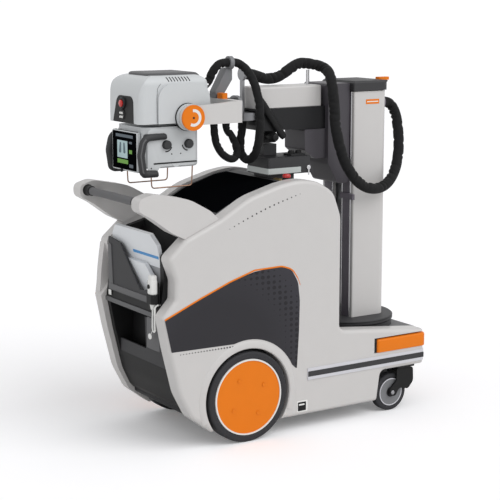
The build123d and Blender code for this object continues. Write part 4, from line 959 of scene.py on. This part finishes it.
def upper_body():
    """Display frame, light band, lid, knobs and key of the control box, brass strip and stop button."""
    rows = [(-304, 0, -203, -192), (-304, 0, 192, 203), (-304, -292, -192, 192), (-10, 0, -192, 192)]
    strips = []
    for row in rows:
        corners = oblong(*row)
        loop, _ = even(np.concatenate([corners, corners[:1]]), 12, 1)
        strips.append(draped(raised(top(ABOVE_COVER), loop[:-1], 0.8), "touch_display", -Z, 0.0))
    piece("display_frame", strips, DARK, "chassis")

    band = bent([(134, -123.8, 0), (-16.8, -123.8, 0), (-16.8, 25, 0)], 10)[:, :2]
    piece("box_light_band", [raised(top(989), ribbon(band, 2.2), 22)], MINT, "chassis")
    lid = [raised(top(BOX_TOP), oblong(-8, 176, -112, 22, 8), 1.5, 1),
           raised(top(BOX_TOP), oblong(100, 170, -106, -50, 5), 9, 2)]
    piece("box_lid", lid, STEEL_BLACK, "chassis")
    knobs = [turned(top(BOX_TOP + 9), u, -78, ((-1, 13), (9, 12), (11, 10), (11, 0.05)), 28)
             for u in (118, 152)]
    piece("box_knobs", knobs, BLACK, "chassis")
    key = [raised(side(-1, BOX_SIDE), disc(170, 1006, 9, 24), 2, 0.5),
           raised(side(-1, BOX_SIDE), oblong(167, 173, 976, 1000, 1), 1.6)]
    piece("box_key", key, CHROME, "chassis")
    outline, _ = even(oblong(8, 26, -176, -92, 1), 6, 1)
    brass = draped(raised(top(ABOVE_COVER), outline[:-1], 1.2), "top_cover", -Z, 0.0)
    piece("cover_brass_strip", [brass], BRASS, "chassis")
    collar = turned(top(STOP_BASE), *STOP_BUTTON, ((0, 17), (9, 17), (12, 14), (12, 0.05)), 36)
    piece("stop_collar", [collar], BLACK, "chassis")
    rows = ((8, 9), (14, 9), (14, 16), (22, 16), (26, 13), (27.8, 6), (28, 0.05))
    stop = turned(top(STOP_BASE), *STOP_BUTTON, rows, 40)
    piece("stop_mushroom", [stop], RED, "chassis", ("stop_button",))


def column():
    """Chrome corner strips, blank orange label, turntable rim and cap ridge."""
    edges = [tube([(402.5, sign * y, 375), (402.5, sign * y, 1286)], 3.2, 10)
             for sign in (-1, 1) for y in (87.5, 33)]
    piece("column_bright_edges", edges, CHROME, "column")
    label = raised(side(-1, COLUMN_SIDE), oblong(461, 527, 1237, 1256, 2), 0.7)
    stripe = raised(side(-1, COLUMN_SIDE + 0.7), oblong(466, 522, 1244.5, 1248.5, 1), 0.3)
    piece("column_label", [label], ORANGE, "column")
    piece("column_label_stripe", [stripe], LIGHT, "column")
    ring = [lift(top(TURNTABLE_TOP), disc(*TURNTABLE, radius, 96), height)
            for radius, height in ((195.6, 9), (195.6, 12), (192, 14.5), (190, 12))]
    piece("turntable_rim", [skin(ring, closed=True)], STEEL_BLACK, "column")
    ridge = smooth_box((404, -104, 1322), (572, 104, 1330), 3.5)
    piece("mast_cap_ridge", [ridge], DARK, "carriage")


def bumpers():
    """Black plates of painted shade in the notches behind the bumper's ends and over its end faces, the black
    lining between the casters, and the rounded bumper. At angle t its upper edge is inset by 9 - 9 sin t and
    lowered by 9 - 9 cos t. Its lower edge has 3 for 9."""
    # Painted shade: black plates in the notch and over the bumper's ends.
    notch_shade = []
    for sign in (-1, 1):
        notch_shade.append(raised(side(sign, NOTCH_SIDE + 0.2), oblong(391, 470, 261, 320, 2), 0.8))
        low, high = sorted((sign * 237, sign * 273.5))
        notch_shade.append(smooth_box((390.5, low, 261.5), (405, high, 319), 2))
    piece("notch_shadows", notch_shade, BLACK, "chassis")
    lining = [smooth_box((432, -76, 94), (640, 76, 188), 8), smooth_box((412, -206, 94), (420, 206, 188), 3)]
    piece("caster_bay_lining", lining, BLACK, "chassis")
    plan = rounded([(404, -280, 14), (655, -280, 24), (655, 280, 24), (404, 280, 14),
                    (404, 239, 12), (610, 239, 12), (610, -239, 12), (404, -239, 12)], 9)
    rings = [lift(top(0), inset(plan, 3 * (1 - math.sin(turn))), 260.4 + 3 * (1 - math.cos(turn)))
             for turn in np.linspace(0, math.pi / 2, 4)]
    rings += [lift(top(0), inset(plan, 9 * (1 - math.sin(turn))), 314.9 - 9 * (1 - math.cos(turn)))
              for turn in np.linspace(math.pi / 2, 0, 6)]
    piece("moulded_bumper", [skin(rings)], ORANGE, "chassis", ("bumper",))


def casters():
    """Hub, ring, axle cap and bolts of both casters."""
    for sign, name in ((-1, "right"), (1, "left")):
        middle = sign * CASTER_MIDDLE
        roller = f"caster_roller_{name}"
        hubs, rings, caps, bolts = [], [], [], []
        for end in (-1, 1):
            face = plane((middle + end * 19) * Y, X, Z, end * Y)
            rows = ((-2, 54), (-0.2, 54), (0.2, 51), (-3, 40), (-1, 22), (-1, 0.05))
            hubs.append(turned(face, *CASTER_AXLE, rows, 48))
            ring = [lift(face, disc(*CASTER_AXLE, radius, 64), height)
                    for radius, height in ((57, -0.5), (56.5, 1.0), (53, 1.0), (52.5, -0.5))]
            rings.append(skin(ring, closed=True))
            caps.append(turned(face, *CASTER_AXLE, ((-1, 20), (1.5, 20), (3, 17), (3, 0.05)), 32))
            face = plane((middle + end * 32.5) * Y, X, Z, end * Y)
            bolts.append(turned(face, *CASTER_AXLE, ((-1, 9), (1.5, 9), (3, 7), (3, 0.05)), 6))
        piece(f"caster_hub_{name}", hubs, CASTER, roller)
        piece(f"caster_ring_{name}", rings, STRIP_SILVER, roller)
        piece(f"caster_cap_{name}", caps, BLACK, roller)
        piece(f"caster_bolts_{name}", bolts, STEEL, f"caster_{name}")


def arm():
    """Latch bar with its ribbed joint, knob and dock foot; seam lines of the arm."""
    dock = [smooth_box((25, -DOCK_SIDE, 1099.6), (83, DOCK_SIDE, 1149.8), 3)]
    slope = math.radians(-53.5)
    along = np.array([math.cos(slope), 0, math.sin(slope)])
    middle = np.array([31.0, -72.0, 1200.0])
    reach = np.linspace(-98, 98, 29)
    radius = np.interp(np.abs(reach), [0, 88, 98], [15.0, 15.0, 11.0])
    dock.append(tube(middle + reach[:, None] * along, radius, 22, flatten=0.66))
    for shift in (-68, -60, -52, -44):
        rib = [middle + along * (shift - 1.2), middle + along * (shift + 1.2)]
        dock.append(tube(rib, 16, 22, flatten=0.7))
    rows = ((0, 12), (22, 12), (24, 17), (52, 17), (60, 13), (62, 8), (62, 0.05))
    dock.append(turned(side(-1, DOCK_SIDE), 42, 1126, rows, 32))
    piece("docking_latch", dock, BLACK, "carriage", ("dock_fittings",))
    seam = ribbon([(-20, 1236.5), (276, 1236.5)], 1.6)
    lines = [raised(side(sign, ARM_SIDE), seam, 0.5) for sign in (-1, 1)]
    piece("arm_seam", lines, BLACK, "carriage")


body_sides()
wheels()
casters()
bumpers()
rear()
upper_body()
column()
arm()
head()
pivots()
collimator()
hoses()


# Stage, lamps and camera

def stage():
    """A pale floor that fills the view and keeps the shadow, two soft suns and an even white sky. The camera
    sees the floor a little lighter than it lights the machine, and the sky lights the machine with 0.58 of
    the strength that shows in the view, in reflections and through glass."""
    material, tree = blank("pale_seamless_floor")
    path = put(tree, "ShaderNodeLightPath")
    matte = put(tree, "ShaderNodeBsdfDiffuse", {"Color": linear("#f2f2f2")})
    paper = put(tree, "ShaderNodeBsdfDiffuse", {"Color": (1.12, 1.12, 1.14, 1.0)})
    white = put(tree, "ShaderNodeEmission", {"Strength": 1.1})
    lit = put(tree, "ShaderNodeMixShader", {0: 0.12}, {1: paper.outputs[0], 2: white.outputs[0]})
    mixed = put(tree, "ShaderNodeMixShader",
                wires={0: path.outputs["Is Camera Ray"], 1: matte.outputs[0], 2: lit.outputs[0]})
    put(tree, "ShaderNodeOutputMaterial", wires={"Surface": mixed.outputs[0]})
    mesh = bpy.data.meshes.new("floor")
    far = 300.0
    mesh.from_pydata([(-far, -far, 0), (far, -far, 0), (far, far, 0), (-far, far, 0)], [], [(0, 1, 2, 3)])
    mesh.materials.append(material)
    floor = bpy.data.objects.new("floor", mesh)
    bpy.context.scene.collection.objects.link(floor)

    world = bpy.data.worlds.new("white_sky")
    bpy.context.scene.world = world
    world.use_nodes = True
    tree = world.node_tree
    tree.nodes.clear()
    path = put(tree, "ShaderNodeLightPath")
    mirrored_view = put(tree, "ShaderNodeMath", {"operation": "ADD"},
                        {0: path.outputs["Is Glossy Ray"], 1: path.outputs["Is Transmission Ray"]})
    seen = put(tree, "ShaderNodeMath", {"operation": "ADD", "use_clamp": True},
               {0: path.outputs["Is Camera Ray"], 1: mirrored_view.outputs[0]})
    strength = put(tree, "ShaderNodeMapRange", {"To Min": 0.58, "To Max": 1.0}, {"Value": seen.outputs[0]})
    sky = put(tree, "ShaderNodeBackground", {"Color": (1, 1, 1, 1)}, {"Strength": strength.outputs[0]})
    put(tree, "ShaderNodeOutputWorld", wires={"Surface": sky.outputs[0]})

    lamps = (("key", 1.25, 50, 46, 22), ("fill", 0.34, 80, 55, -70))
    for name, energy, spread, tilt, turn in lamps:
        lamp = bpy.data.lights.new(name, "SUN")
        lamp.energy = energy
        lamp.angle = math.radians(spread)
        holder = bpy.data.objects.new(name, lamp)
        holder.rotation_euler = (math.radians(tilt), 0, math.radians(turn))
        bpy.context.scene.collection.objects.link(holder)


def camera():
    """The photograph's view: its bearing, height angle and distance, measured from the machine."""
    azimuth, elevation = math.radians(-32.86), math.radians(10.32)
    back = Vector((math.sin(azimuth) * math.cos(elevation), -math.cos(azimuth) * math.cos(elevation),
                   math.sin(elevation)))
    data = bpy.data.cameras.new("photo_view")
    data.sensor_width = 36.0
    data.lens = 103.65
    data.clip_end = 2000.0
    holder = bpy.data.objects.new("photo_view", data)
    holder.location = (-3.046, -4.683, 1.693)
    holder.rotation_euler = (-back).to_track_quat("-Z", "Y").to_euler()
    bpy.context.scene.collection.objects.link(holder)
    bpy.context.scene.camera = holder
    bpy.context.scene.view_settings.view_transform = "Standard"


stage()
camera()
